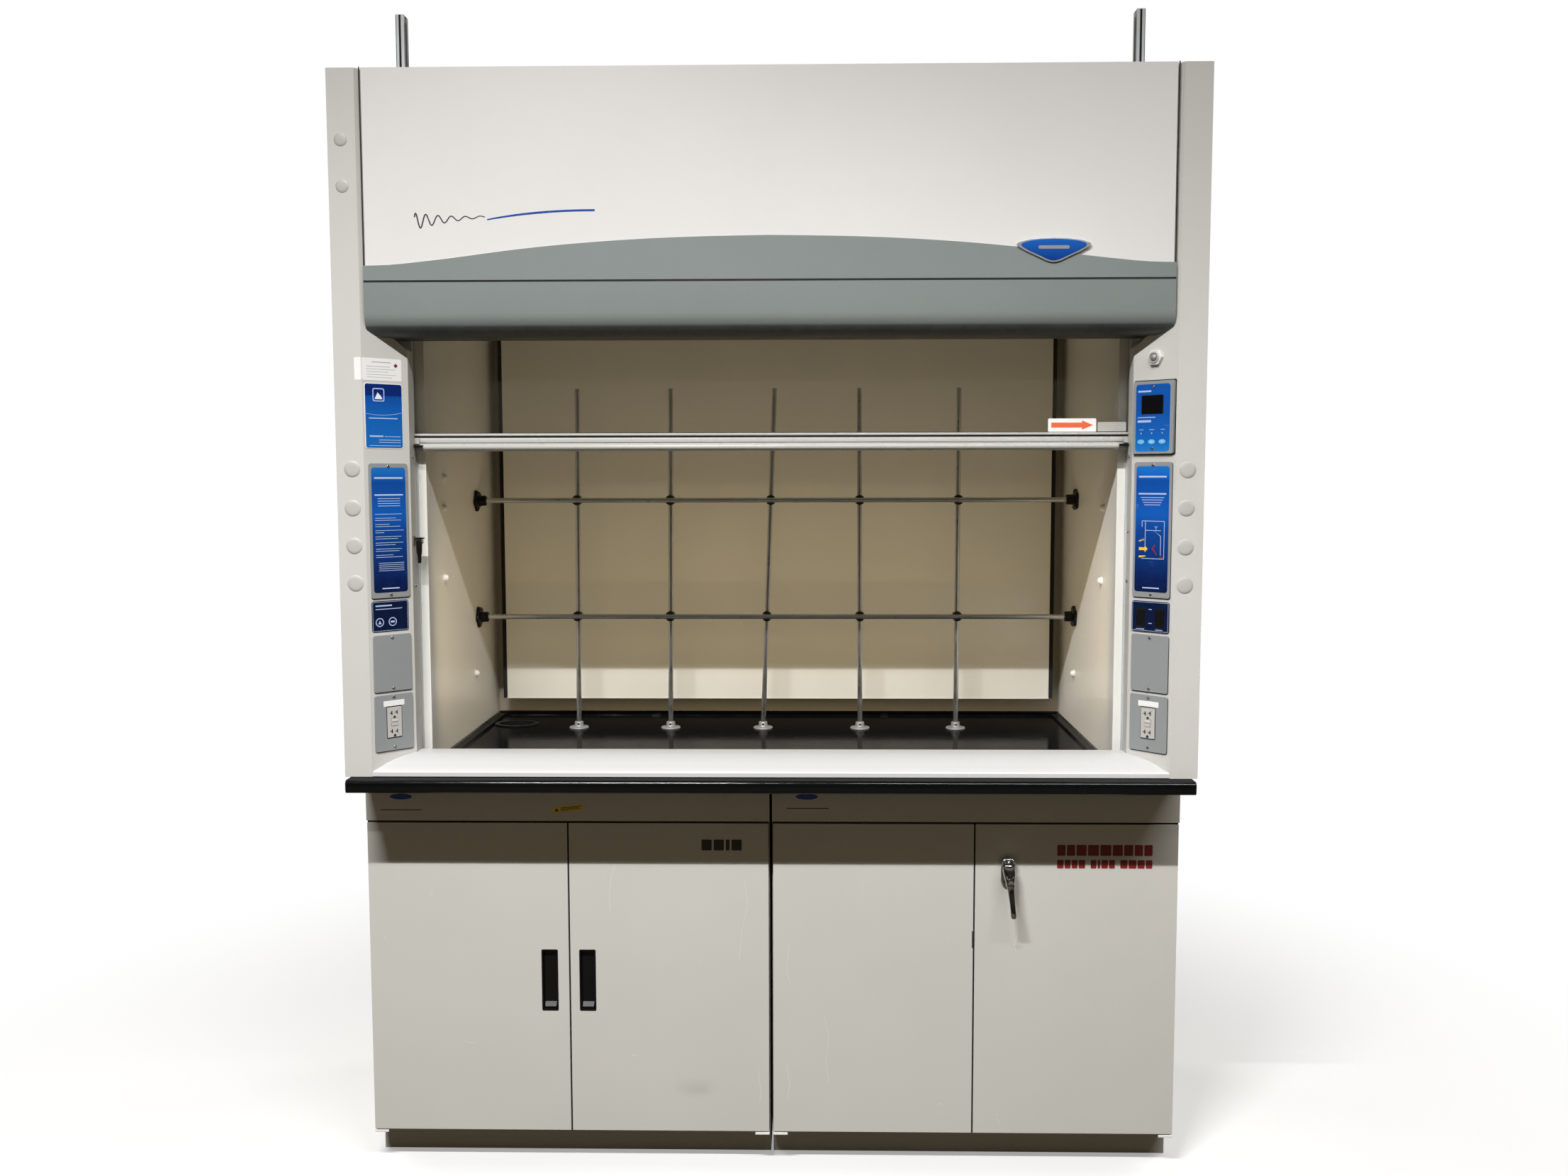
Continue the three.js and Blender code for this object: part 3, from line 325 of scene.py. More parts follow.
# ------------------------------------------------------------------ mesh building
class Build:
    """Collects shapes in millimetres; out() turns them into one piece riding on a body."""

    def __init__(self):
        self.bm = bmesh.new()

    def box(self, x0, x1, y0, y1, z0, z1):
        m = Matrix.Translation(((x0 + x1) / 2, (y0 + y1) / 2, (z0 + z1) / 2)) @ Matrix.Diagonal((abs(x1 - x0), abs(y1 - y0), abs(z1 - z0), 1))
        bmesh.ops.create_cube(self.bm, size=1.0, matrix=m)
        return self

    def prism(self, pts, plane, a, b):
        """plane 'xy' extrudes along z, 'yz' along x, 'xz' along y."""
        def at(p, h):
            return {"xy": (p[0], p[1], h), "yz": (h, p[0], p[1]), "xz": (p[0], h, p[1])}[plane]
        lo = [self.bm.verts.new(at(p, a)) for p in pts]
        hi = [self.bm.verts.new(at(p, b)) for p in pts]
        faces = [self.bm.faces.new(lo), self.bm.faces.new(hi)]
        n = len(pts)
        for i in range(n):
            faces.append(self.bm.faces.new((lo[i], lo[(i + 1) % n], hi[(i + 1) % n], hi[i])))
        bmesh.ops.recalc_face_normals(self.bm, faces=faces)
        return self

    def lathe(self, profile, origin, axis, seg=40, lobes=0, lobe_depth=0.0):
        """profile is (radius, height along the axis) from one end to the other."""
        az = Vector(axis).normalized()
        ax = az.orthogonal().normalized()
        ay = az.cross(ax)
        o = Vector(origin)
        rings = []
        for r, h in profile:
            if r < 1e-6:
                rings.append([self.bm.verts.new(o + az * h)])
                continue
            ring = []
            for i in range(seg):
                a = 2 * math.pi * i / seg
                rr = r * (1 - lobe_depth * (0.5 - 0.5 * math.cos(lobes * a))) if lobes else r
                ring.append(self.bm.verts.new(o + az * h + ax * rr * math.cos(a) + ay * rr * math.sin(a)))
            rings.append(ring)
        faces = []
        for a, b in zip(rings, rings[1:]):
            if len(a) == 1 and len(b) == 1:
                continue
            for i in range(seg):
                j = (i + 1) % seg
                if len(a) == 1:
                    faces.append(self.bm.faces.new((a[0], b[i], b[j])))
                elif len(b) == 1:
                    faces.append(self.bm.faces.new((a[i], a[j], b[0])))
                else:
                    faces.append(self.bm.faces.new((a[i], a[j], b[j], b[i])))
        bmesh.ops.recalc_face_normals(self.bm, faces=faces)
        return self

    def tube(self, pts, r, seg=12, caps=True):
        pts = [Vector(p) for p in pts]
        rings, prev = [], None
        for i, p in enumerate(pts):
            d = (pts[min(i + 1, len(pts) - 1)] - pts[max(i - 1, 0)]).normalized()
            n = (prev - d * prev.dot(d)).normalized() if prev is not None else d.orthogonal().normalized()
            prev = n
            b = d.cross(n)
            rr = r[i] if isinstance(r, (list, tuple)) else r
            rings.append([self.bm.verts.new(p + n * rr * math.cos(2 * math.pi * k / seg) + b * rr * math.sin(2 * math.pi * k / seg)) for k in range(seg)])
        faces = []
        for a, b in zip(rings, rings[1:]):
            for i in range(seg):
                j = (i + 1) % seg
                faces.append(self.bm.faces.new((a[i], a[j], b[j], b[i])))
        if caps:
            faces.append(self.bm.faces.new(rings[0]))
            faces.append(self.bm.faces.new(rings[-1]))
        bmesh.ops.recalc_face_normals(self.bm, faces=faces)
        return self

    def loft(self, sections):
        """Closed rings of the same count, capped at both ends."""
        rings = [[self.bm.verts.new(p) for p in s] for s in sections]
        faces = []
        n = len(rings[0])
        for a, b in zip(rings, rings[1:]):
            for i in range(n):
                j = (i + 1) % n
                faces.append(self.bm.faces.new((a[i], a[j], b[j], b[i])))
        faces.append(self.bm.faces.new(rings[0]))
        faces.append(self.bm.faces.new(rings[-1]))
        bmesh.ops.recalc_face_normals(self.bm, faces=faces)
        return self

    def out(self, name, material, body="casing", slot=None, xf=None, bevel=0.0, seg=2, angle=32, replaces=(), blend=None, subsurf=0):
        for v in self.bm.verts:
            c = xf(v.co) if xf else v.co
            v.co = P(c[0], c[1], c[2])
        me = bpy.data.meshes.new(name)
        self.bm.to_mesh(me)
        self.bm.free()
        me.materials.append(M[material] if isinstance(material, str) else material)
        o = bpy.data.objects.new(name, me)
        SCENE.collection.objects.link(o)
        me.shade_smooth()
        if bevel:
            md = o.modifiers.new("edges", "BEVEL")
            md.width = bevel / 1000.0
            md.segments = seg
            md.limit_method = "ANGLE"
            md.angle_limit = math.radians(angle)
            md.harden_normals = True
            md.use_clamp_overlap = True
        else:
            me.set_sharp_from_angle(angle=math.radians(angle))
        if subsurf:
            md = o.modifiers.new("smooth", "SUBSURF")
            md.levels = md.render_levels = subsurf
        if blend:
            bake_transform(o)
        else:
            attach(o, body)
        if replaces:
            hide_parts(*replaces)
        return o


def face_xf(side):
    """(u to the viewer's right, v up, n out) on a post's 45 degree face, to millimetres."""
    if side > 0:
        return lambda c: (818 + (c[0] - c[2]) * S2, 38 - (c[0] + c[2]) * S2, c[1])
    return lambda c: (-818 + (c[0] + c[2]) * S2, 38 + (c[0] - c[2]) * S2, c[1])


def rounded(x0, x1, y0, y1, r, n=5):
    pts = []
    for cx, cy, a0 in ((x1 - r, y0 + r, -90), (x1 - r, y1 - r, 0), (x0 + r, y1 - r, 90), (x0 + r, y0 + r, 180)):
        for i in range(n + 1):
            a = math.radians(a0 + 90 * i / n)
            pts.append((cx + r * math.cos(a), cy + r * math.sin(a)))
    return pts


def ellipse(cx, cy, a, b, n=32):
    return [(cx + a * math.cos(2 * math.pi * i / n), cy + b * math.sin(2 * math.pi * i / n)) for i in range(n)]


def arc(cx, cy, r, a0, a1, n):
    return [(cx + r * math.cos(math.radians(a0 + (a1 - a0) * i / n)), cy + r * math.sin(math.radians(a0 + (a1 - a0) * i / n))) for i in range(n + 1)]


SIDES = ((-1, "left"), (1, "right"))


# ------------------------------------------------------------------ finish for the carried-over CAD nodes
def weld_group():
    g = bpy.data.node_groups.new("weld_and_smooth", "GeometryNodeTree")
    g.interface.new_socket("Geometry", in_out="INPUT", socket_type="NodeSocketGeometry")
    g.interface.new_socket("Geometry", in_out="OUTPUT", socket_type="NodeSocketGeometry")
    gi, go = g.nodes.new("NodeGroupInput"), g.nodes.new("NodeGroupOutput")
    weld = g.nodes.new("GeometryNodeMergeByDistance")
    weld.inputs["Distance"].default_value = 2e-6
    ang = g.nodes.new("GeometryNodeInputMeshEdgeAngle")
    cmp_ = g.nodes.new("FunctionNodeCompare")
    cmp_.data_type = "FLOAT"
    cmp_.operation = "GREATER_THAN"
    cmp_.inputs[1].default_value = math.radians(24)
    allf = g.nodes.new("GeometryNodeSetShadeSmooth")
    allf.domain = "FACE"
    allf.inputs["Shade Smooth"].default_value = True
    alle = g.nodes.new("GeometryNodeSetShadeSmooth")
    alle.domain = "EDGE"
    alle.inputs["Shade Smooth"].default_value = True
    sharp = g.nodes.new("GeometryNodeSetShadeSmooth")
    sharp.domain = "EDGE"
    sharp.inputs["Shade Smooth"].default_value = False
    L = g.links.new
    L(gi.outputs[0], weld.inputs["Geometry"])
    L(weld.outputs["Geometry"], allf.inputs["Geometry"])
    L(allf.outputs["Geometry"], alle.inputs["Geometry"])
    L(alle.outputs["Geometry"], sharp.inputs["Geometry"])
    L(ang.outputs["Unsigned Angle"], cmp_.inputs[0])
    L(cmp_.outputs["Result"], sharp.inputs["Selection"])
    L(sharp.outputs["Geometry"], go.inputs[0])
    return g


WELD = weld_group()


def finish_node(name, material, bevel=0.0, seg=2, angle=34):
    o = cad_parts[name]
    o.data.materials.clear()
    o.data.materials.append(M[material])
    md = o.modifiers.new("weld", "NODES")
    md.node_group = WELD
    if bevel:
        b = o.modifiers.new("edges", "BEVEL")
        b.width = bevel / 1000.0
        b.segments = seg
        b.limit_method = "ANGLE"
        b.angle_limit = math.radians(angle)
        b.harden_normals = True
        b.use_clamp_overlap = True
    return o


for side, lab in SIDES:
    finish_node("corner_post_" + lab, "post", 0.6)
    finish_node("side_panel_" + lab, "post", 0.6)
    finish_node("side_liner_" + lab, "liner", 0.8)
    finish_node("sash_track_" + lab, "track", 0.5)
    finish_node("front_pulley_" + lab, "black")
    finish_node("base_cabinet_" + lab, "cabinet", 0.6)
    finish_node("service_access_plate_" + lab, "plate", 1.0, 3)
    finish_node("blank_plate_" + lab, "plate", 1.0, 3)
    finish_node("outlet_plate_" + lab, "plate", 1.0, 3)
    finish_node("outlet_" + lab, "device", 0.5)
    finish_node("outlet_test_button_" + lab, "button", 0.4)
    finish_node("outlet_reset_button_" + lab, "device", 0.4)
finish_node("header_panel", "header", 1.2)
finish_node("header_arch_trim", "grey", 0.5)
finish_node("header_visor", "visor")
finish_node("rear_liner", "liner_rear_shaded", 0.8)
finish_node("ceiling_liner", "liner", 0.8)
finish_node("baffle", "baffle", 1.2)
finish_node("duct_collar", "steel")
finish_node("light_fixture", "header", 0.8)
finish_node("sash_glass", "glass")
finish_node("rear_pulley_shaft", "dark")
finish_node("counterweight", "dark", 1.5)
finish_node("rear_top_rail", "post", 0.5)
finish_node("work_surface", "epoxy", 2.2, 3)
finish_node("cup_sink", "sink")
finish_node("airfoil_sill", "sill", 0.7)
finish_node("switch_plate", "navy", 1.0, 3)
finish_node("blower_switch_rocker", "black", 0.8, 3)
finish_node("light_switch_rocker", "black", 0.8, 3)
finish_node("airflow_monitor", "plate", 1.2, 3)
for d in ("left_outer", "left_inner", "right_inner", "right_outer"):
    finish_node("door_" + d, "cabinet", 1.1, 3)
finish_node("latch_escutcheon", "chrome", 2.5, 4)


# ------------------------------------------------------------------ small hardware
def screw(name, origin, axis, r=4.2, h=2.4, body="casing", material="screw"):
    """Pan head with a slotted recess, standing on origin along axis."""
    prof = [(0, 0.0), (r, 0.0), (r, 0.35 * h), (r * 0.9, 0.7 * h), (r * 0.62, 0.94 * h), (r * 0.3, h), (r * 0.26, h * 0.5), (0, h * 0.45)]
    return Build().lathe(prof, origin, axis, 24).out(name, material, body, angle=40)


def face_screw(name, side, u, v, n, r=3.4, h=1.8):
    f = face_xf(side)
    o, tip = Vector(f((u, v, n))), Vector(f((u, v, n + 1)))
    return screw(name, o, tip - o, r, h)


for side, lab in SIDES:
    for i, (v, n) in enumerate(((1543, 3.3), (1267.5, 3.3), (1174.5, 3.3), (1064.5, 3.3), (1044.5, 3.3), (935.5, 3.3))):
        face_screw(f"plate_screw_{lab}_{i}", side, 0, v, n)
# dark strips behind each plate, set a little down and to the right, a painted shadow that shows as a thin line under
# and beside it
for side, lab in SIDES:
    for nm, half_u, v0, v1 in (("service", 45, 1261, 1550), ("blank", 44.5, 1057.5, 1181), ("outlet", 45, 928, 1050.5)):
        lo, hi = (-half_u + 0.6, half_u + 0.7)
        a, c = v0 - 1.7, v1 - 1.0
        edge = [(lo, c - 4.5), (lo, a + 4.5), (lo + 1.3, a + 1.3), (lo + 4.5, a), (lo + 12, a), (lo + 12, c), (lo + 4.5, c), (lo + 1.3, c - 1.3)]
        far = [(lo + hi - u, v) for u, v in reversed(edge)]
        g = Build().prism(edge, "xy", 0.02, 1.6).prism(far, "xy", 0.02, 1.6)
        g.box(lo + 12.05, hi - 12.05, a, a + 6, 0.02, 1.6).box(lo + 12.05, hi - 12.05, c - 6, c, 0.02, 1.6)
        g.out(f"plate_shadow_{nm}_{lab}", "gap", xf=face_xf(side), angle=60)
face_screw("monitor_screw_top", 1, 0, 1708, 8.0)
face_screw("monitor_screw_bottom", 1, 0, 1578, 8.0)
# screws in the post returns
for i, z in enumerate((1565, 1283)):
    screw(f"return_screw_left_{i}", (-780, 98, z), (1, 0, 0), 4.0, 2.6)
for i, z in enumerate((1562, 1400, 1292)):
    screw(f"return_screw_right_{i}", (780, 98, z), (-1, 0, 0), 4.0, 2.6)


def plug(name, x, z, r):
    prof = [(0, -0.2), (r - 1.2, -0.2), (r, 0.0), (r, 0.7), (r - 0.8, 1.35), (r * 0.6, 1.75), (0, 1.95)]
    return Build().lathe(prof, (x, 0, z), (0, -1, 0), 48).out(name, "plug", angle=50)


for i, (x, z, r) in enumerate(((-887, 2219.5, 13.5), (-886, 2125, 13.5), (-881, 1538, 17.2), (-882, 1455, 17.2), (-881, 1375, 17.2), (-880, 1295, 17.2))):
    plug(f"hole_plug_left_{i}", x, z, r)
for i, (x, z, r) in enumerate(((879, 1533, 17.2), (878, 1453, 17.2), (878, 1371, 17.2), (878, 1290, 17.2))):
    plug(f"hole_plug_right_{i}", x, z, r)


# ------------------------------------------------------------------ overlays and labels
def face_label(name, side, pts, n0, n1, material, bevel=0.15, slot="blue_overlay"):
    return Build().prism(pts, "xy", n0, n1).out(name, material, xf=face_xf(side), bevel=bevel, slot=slot, angle=60)


def bars(name, side, rows, n, material="ink", th=0.06):
    """Plain printed bars on a post face: (u0, u1, v0, v1)."""
    b = Build()
    for u0, u1, v0, v1 in rows:
        b.box(u0, u1, v0, v1, n, n + th)
    return b.out(name, material, xf=face_xf(side), angle=60)


# left upper badge panel
face_label("upper_panel_rim_left", -1, rounded(-49, 38.5, 1581.5, 1719.5, 5), 0.05, 0.9, "white")
face_label("upper_panel_left", -1, rounded(-47.6, 37.1, 1582.9, 1718.1, 4.4), 0.9, 1.25, "brand_blue")
face_label("upper_panel_icon_rim", -1, rounded(-30.5, -3.5, 1681, 1709, 4), 1.25, 1.5, "ink", slot=None)
face_label("upper_panel_icon", -1, rounded(-28.5, -5.5, 1683, 1707, 3), 1.5, 1.6, "brand_blue", slot=None)
b = Build()
b.prism([(-26, 1686), (-19, 1700), (-12, 1693), (-8, 1686)], "xy", 1.6, 1.68)
b.out("upper_panel_icon_mark", "white", xf=face_xf(-1), angle=60)
pts = [(-46 + 82 * i / 20, 1655 - 4.2 * math.sin(math.pi * i / 20) + 3 * i / 20) for i in range(21)]
b = Build()
for (u0, v0), (u1, v1) in zip(pts, pts[1:]):
    b.prism([(u0, v0 - 0.35), (u1, v1 - 0.35), (u1, v1 + 0.35), (u0, v0 + 0.35)], "xy", 1.25, 1.31)
b.out("upper_panel_swoosh", "ink", xf=face_xf(-1), angle=60)
bars("upper_panel_bars", -1, [(-40, 26, 1644.5, 1646.5), (-39, -8, 1606, 1609), (-5, 32, 1606.5, 1607.6), (-18, 32, 1599, 1600.2), (-18, 32, 1594, 1595), (-40, 32, 1587, 1588)], 1.25)

# white sticker wrapped over the left post's bend
Build().prism(rounded(-52.6, 38.3, 1725, 1772, 3), "xy", 0.05, 0.4).out("inspection_sticker_face", "white", xf=face_xf(-1), angle=60)
Build().prism(rounded(-871, -856.6, 1725, 1772, 2.5), "xz", -0.4, -0.05).out("inspection_sticker_wrap", "white", angle=60)
bars("inspection_sticker_bars", -1, [(-30, 14, 1763, 1764.6), (-42, 12, 1754, 1755), (-42, 24, 1748.5, 1749.4), (-42, 8, 1743, 1743.9), (-42, 26, 1737, 1737.9), (-42, 16, 1731.5, 1732.4)], 0.4, "greyink")
Build().prism([(20, 1758), (25, 1763), (30, 1758), (25, 1753)], "xy", 0.4, 0.46).out("inspection_sticker_mark", "red", xf=face_xf(-1), angle=60)

for side, lab in SIDES:
    face_label("service_overlay_" + lab, side, rounded(-39.5, 39.5, 1273, 1541, 6), 3.3, 3.65, "service_blue")
rows = [(-33, 33, 1517, 1520.5), (-33, 33, 1481, 1484)]
rows += [(-26, 26, 1474 - 5.2 * i, 1475.2 - 5.2 * i) for i in range(4)]
v = 1441
for i in range(15):
    w = (62, 48, 60, 33, 58, 66, 20, 60, 52, 64, 46, 60, 55, 40, 62)[i]
    rows.append((-33, -33 + w, v, v + 1.0))
    v -= 8.6 if i % 2 == 0 else 4.6
rows += [(-27, 38 - 6, 1336 - 4.1 * i, 1337 - 4.1 * i) for i in range(5)]
rows.append((-20, 20, 1280.5, 1283))
bars("service_bars_left", -1, rows, 3.65)
rows = [(-33, 33, 1517, 1520.5), (-33, 33, 1481, 1484), (-20, 20, 1280.5, 1283)]
rows += [(-28 + 3 * i, 28 - 3 * i, 1474 - 5.2 * i, 1475.2 - 5.2 * i) for i in range(4)]
# outline section drawing of a hood with its air path
rows += [(-24, 30, 1424, 1425.2), (29, 30.2, 1344, 1424), (-24, 30, 1344, 1345.2), (-24, -22.8, 1412, 1425), (-16, -14.8, 1366, 1424), (-16, 22, 1404, 1405.2),
         (21, 22.2, 1352, 1392), (6, 14, 1412, 1413), (9.6, 10.6, 1405, 1413)]
bars("diagram_lines", 1, rows, 3.65)
b = Build()
b.prism([(4, 1404), (5.6, 1404), (22.2, 1391), (22.2, 1393)], "xy", 3.65, 3.71)
b.out("diagram_slope", "ink", xf=face_xf(1), angle=60)
b = Build()
b.prism([(-30, 1362), (-16, 1362), (-16, 1358), (-9, 1365), (-16, 1372), (-16, 1368), (-30, 1368)], "xy", 3.65, 3.75)
b.prism([(-30, 1380), (-18, 1384), (-17, 1386), (-30, 1383)], "xy", 3.65, 3.75)
b.prism([(-30, 1346), (-14, 1349), (-14, 1351), (-30, 1350)], "xy", 3.65, 3.75)
b.out("diagram_air_arrows", "amber", xf=face_xf(1), angle=60)
b = Build()
b.prism([(0, 1366), (12, 1352), (13.6, 1353.4), (5, 1366), (9, 1374), (7, 1375)], "xy", 3.65, 3.75)
b.prism([(18, 1346), (26, 1346), (26, 1352)], "xy", 3.65, 3.75)
b.out("diagram_fume_arrows", "red", xf=face_xf(1), angle=60)

# dark label plate on the left, switch plate trim on the right
face_label("notice_plate_left", -1, rounded(-45, 41, 1188, 1255, 5), 0.05, 1.1, "navy", 0.3, "navy_enamel")
for name, side, u0, u1, n in (("notice_outline_left", -1, -43, 39, 1.1), ("switch_outline", 1, -43, 43, 3.3)):
    b = Build()
    z0, z1 = (1190, 1253) if side < 0 else (1189, 1251)
    for r in ((u0, u1, z1 - 0.7, z1), (u0, u1, z0, z0 + 0.7), (u0, u0 + 0.7, z0, z1), (u1 - 0.7, u1, z0, z1)):
        b.box(*r, n, n + 0.06)
    b.out(name, "ink", xf=face_xf(side), angle=60)
bars("notice_bars_left", -1, [(-36, 2, 1243, 1246), (-36, 26, 1236.5, 1238)], 1.1)
Build().prism(ellipse(-27, 1209, 9.5, 9.5), "xy", 1.1, 1.18).prism(ellipse(3, 1209, 9.5, 9.5), "xy", 1.1, 1.18).out("notice_discs", "ink", xf=face_xf(-1), angle=60)
Build().prism(ellipse(-27, 1209, 7.6, 7.6), "xy", 1.18, 1.22).prism(ellipse(3, 1209, 7.6, 7.6), "xy", 1.18, 1.22).out("notice_discs_inner", "navy", xf=face_xf(-1), angle=60)
Build().prism([(-31, 1205), (-23, 1205), (-27, 1213)], "xy", 1.22, 1.27).prism(rounded(-2, 8, 1207, 1211, 1.5), "xy", 1.22, 1.27).out("notice_marks", "ink", xf=face_xf(-1), angle=60)
bars("switch_bars", 1, [(-34, -14, 1191.6, 1193.2), (13, 30, 1191.6, 1193.2), (-4, 4, 1235, 1236.5), (-4, 4, 1205, 1206.5)], 3.3)

# airflow monitor
# a dark sheet behind the monitor, a painted shade in the gap around it
face_label("monitor_gap_shade", 1, rounded(-50, 50, 1564.5, 1722.5, 3), 0.06, 0.45, "gap", 0.0, "black_plastic")
face_label("monitor_overlay", 1, rounded(-41, 40, 1572, 1713.5, 6), 8.0, 8.35, "monitor_blue")
Build().prism(rounded(-27.5, 24.5, 1650.5, 1690.5, 2), "xy", 8.35, 8.9).out("monitor_bezel", "black", xf=face_xf(1), bevel=0.3)
Build().prism(rounded(-25.5, 22.5, 1652.5, 1688.5, 1), "xy", 8.9, 9.0).out("monitor_screen", "screen", xf=face_xf(1), angle=60)
for i, u in enumerate((-27.5, -2, 23)):
    Build().prism(ellipse(u, 1592.5, 8.2, 4.9), "xy", 8.35, 9.1).out(f"monitor_key_{i}", "paleblue", xf=face_xf(1), bevel=0.5, seg=3)
Build().prism([(-6, 1590.5), (2, 1590.5), (-2, 1595.5)], "xy", 9.1, 9.16).prism([(19, 1594.5), (27, 1594.5), (23, 1589.5)], "xy", 9.1, 9.16).out("monitor_key_arrows", "ink", xf=face_xf(1), angle=60)
bars("monitor_bars", 1, [(-36, -5, 1697, 1700.5), (-36, 6, 1643, 1644.5), (-36, -4, 1633.5, 1638), (-32, -22, 1617.5, 1618.6), (-8, 4, 1617.5, 1618.6), (19, 29, 1617.5, 1618.6)], 8.35)
Build().prism(ellipse(-27.5, 1610.5, 1.1, 1.1, 16), "xy", 8.35, 8.55).prism(ellipse(-2, 1610.5, 1.1, 1.1, 16), "xy", 8.35, 8.55).prism(ellipse(23, 1610.5, 1.1, 1.1, 16), "xy", 8.35, 8.55).out("monitor_lamps", "white", xf=face_xf(1), angle=60)

# hexagonal bushing with a ball port on the right post
hexa = [(17.5 * math.cos(math.radians(60 * i)), 1769 + 17.5 * math.sin(math.radians(60 * i))) for i in range(6)]
b = Build().prism(hexa, "xy", 0.05, 8.5)
b.out("port_hex", "header", xf=face_xf(1), bevel=1.2, seg=3)
f = face_xf(1)
o = Vector(f((0, 1769, 8.0)))
axis = Vector(f((0, 1769, 9.0))) - o
Build().lathe([(0, 0.6), (9.0, 0.6), (10.6, 0.6), (11.6, 1.0), (12.2, 2.2), (11.6, 3.0), (9.6, 3.2), (9.2, 1.4), (0, 1.2)], o, axis, 40).out("port_collar", "plug", angle=40)
Build().lathe([(0, 7.0)] + [(8.6 * math.sin(math.radians(a)), -1.2 + 8.2 * math.cos(math.radians(a))) for a in (15, 30, 45, 60, 75, 85)] + [(0, -0.4)], o, axis, 36).out("port_ball", "flange", angle=50)

# receptacle details and blank label strips
for side, lab in SIDES:
    Build().prism(rounded(-24.5, 24.5, 1025.5, 1037.5, 1), "xy", 3.3, 3.5).out("circuit_label_" + lab, "white", xf=face_xf(side), angle=60)
    # the receptacle's slots and the gap round its face are dark patches, a painted shade; the openings are not cut
    Build().prism(rounded(-18.3, 18.3, 954.6, 1025.2, 3), "xy", 3.3, 3.55).out("outlet_gap_shade_" + lab, "gap", xf=face_xf(side), angle=60)
    b = Build()
    for c in (1010, 970):
        b.box(-7.5, -5.0, c - 4, c + 4.5, 0.5, 4.66)
        b.box(-11, -5.0, c - 0.9, c + 1.2, 4.5, 4.66)
        b.box(5.0, 7.3, c - 3, c + 4, 0.5, 4.66)
        b.prism([(-3.0, c - 9.2)] + arc(0, c - 9.2, 3.0, 180, 0, 8)[1:-1] + [(3.0, c - 9.2), (3.0, c - 12.2), (-3.0, c - 12.2)], "xy", 4.4, 4.66)
    b.out("outlet_slot_shade_" + lab, "gap", xf=face_xf(side), angle=60)
    b = Build()
    b.box(-9, 9, 980.4, 981.0, 4.55, 4.7).box(-9, 9, 999.0, 999.6, 4.55, 4.7).box(-9, -8.4, 980.4, 999.6, 4.55, 4.7).box(8.4, 9, 980.4, 999.6, 4.55, 4.7)
    b.out("outlet_button_seam_" + lab, "greyink", xf=face_xf(side), angle=60)
    face_screw("outlet_mark_" + lab, side, 13, 958.8, 4.6, 0.8, 0.25)

# dark strips between the header and the posts, a painted shade in the recess there
for s, lab in SIDES:
    a, c = sorted((s * 843.8, s * 846.2))
    Build().box(a, c, -0.1, 1.2, 1934, 2366).out("header_recess_shade_" + lab, "gap", slot="black_plastic", angle=60)
# dark strips standing for the shadow line between the visor and the arch trim and for the shade in the grooves of the
# track stubs
Build().box(-845.5, 845.5, -3.38, -0.5, 1926.2, 1930.6).out("visor_seam_shadow", "gap", slot="black_plastic", angle=60)
for s, lab in SIDES:
    b = Build()
    for x0, x1 in ((789.6, 794.2), (799.6, 800.8)):
        a, c = sorted((s * x0, s * x1))
        b.box(a, c, 117.7, 118.4, 2366, 2509)
    b.out("track_groove_shade_" + lab, "gap", slot="black_plastic", angle=60)
    a, c = sorted((s * 783.2, s * 800.8))
    Build().box(a, c, 118.2, 149.8, 2509.0, 2509.9).out("track_end_cap_" + lab, "dark", bevel=0.3)

# ------------------------------------------------------------------ header badge and stroke
half = [(0, 2011), (30, 2010), (56, 2007), (72, 2002.5), (77, 1999), (74, 1993), (58, 1984), (36, 1974), (16, 1964.5), (6, 1961.6), (0, 1961)]


def shield(k, cz=1990):
    right = [(592 + x * k, cz + (z - cz) * k) for x, z in half]
    left = [(592 - x * k, cz + (z - cz) * k) for x, z in half[1:-1]]
    return right + left[::-1]


Build().prism(shield(1.0), "xz", -7.5, -3.3).out("badge_rim", "badge_rim", bevel=1.1, seg=3, angle=40)
Build().prism(shield(0.88), "xz", -8.3, -7.4).out("badge_face", "badge_blue", bevel=0.5, seg=3, angle=40, slot="blue_overlay")
Build().prism(rounded(560, 624, 1988, 1995, 3), "xz", -8.7, -8.25).out("badge_bar", "badge_rim", bevel=0.2, seg=2)
pts = []
for i in range(49):
    t = i / 48
    pts.append((-584 + 225 * t, 2054.5 + 18.2 * (1 - (1 - t) ** 2.2), 1.1 + 1.1 * math.sin(math.pi * min(0.60, 0.08 + 0.9 * t))))
Build().prism([(x, z + w) for x, z, w in pts] + [(x, z - w) for x, z, w in pts][::-1], "xz", -0.25, -0.02).out("header_stroke", "stroke_blue", slot="blue_overlay", angle=60)
# a plain wave ahead of the stroke
pts = []
for i in range(121):
    t = i / 120
    pts.append((-736 + 148 * t, 2052 + 8.5 * t + (13 * (1 - t) ** 1.6 + 4.0) * math.sin(2 * math.pi * (5.5 * t ** 0.85 + 0.08)) * (1 - 0.55 * t)))
ws = []
for i, (x, z) in enumerate(pts):
    (x0, z0), (x1, z1) = pts[max(0, i - 1)], pts[min(120, i + 1)]
    d = math.hypot(x1 - x0, z1 - z0)
    w = 1.5 - 0.5 * i / 120
    ws.append((x, z, -(z1 - z0) / d * w, (x1 - x0) / d * w))
wave = Build()
for (xa, za, ua, va), (xb, zb, ub, vb) in zip(ws, ws[1:]):
    wave.prism([(xa + ua, za + va), (xa - ua, za - va), (xb - ub, zb - vb), (xb + ub, zb + vb)], "xz", -0.25, -0.02)
wave.out("header_wave", "darkink", slot="blue_overlay", angle=60)

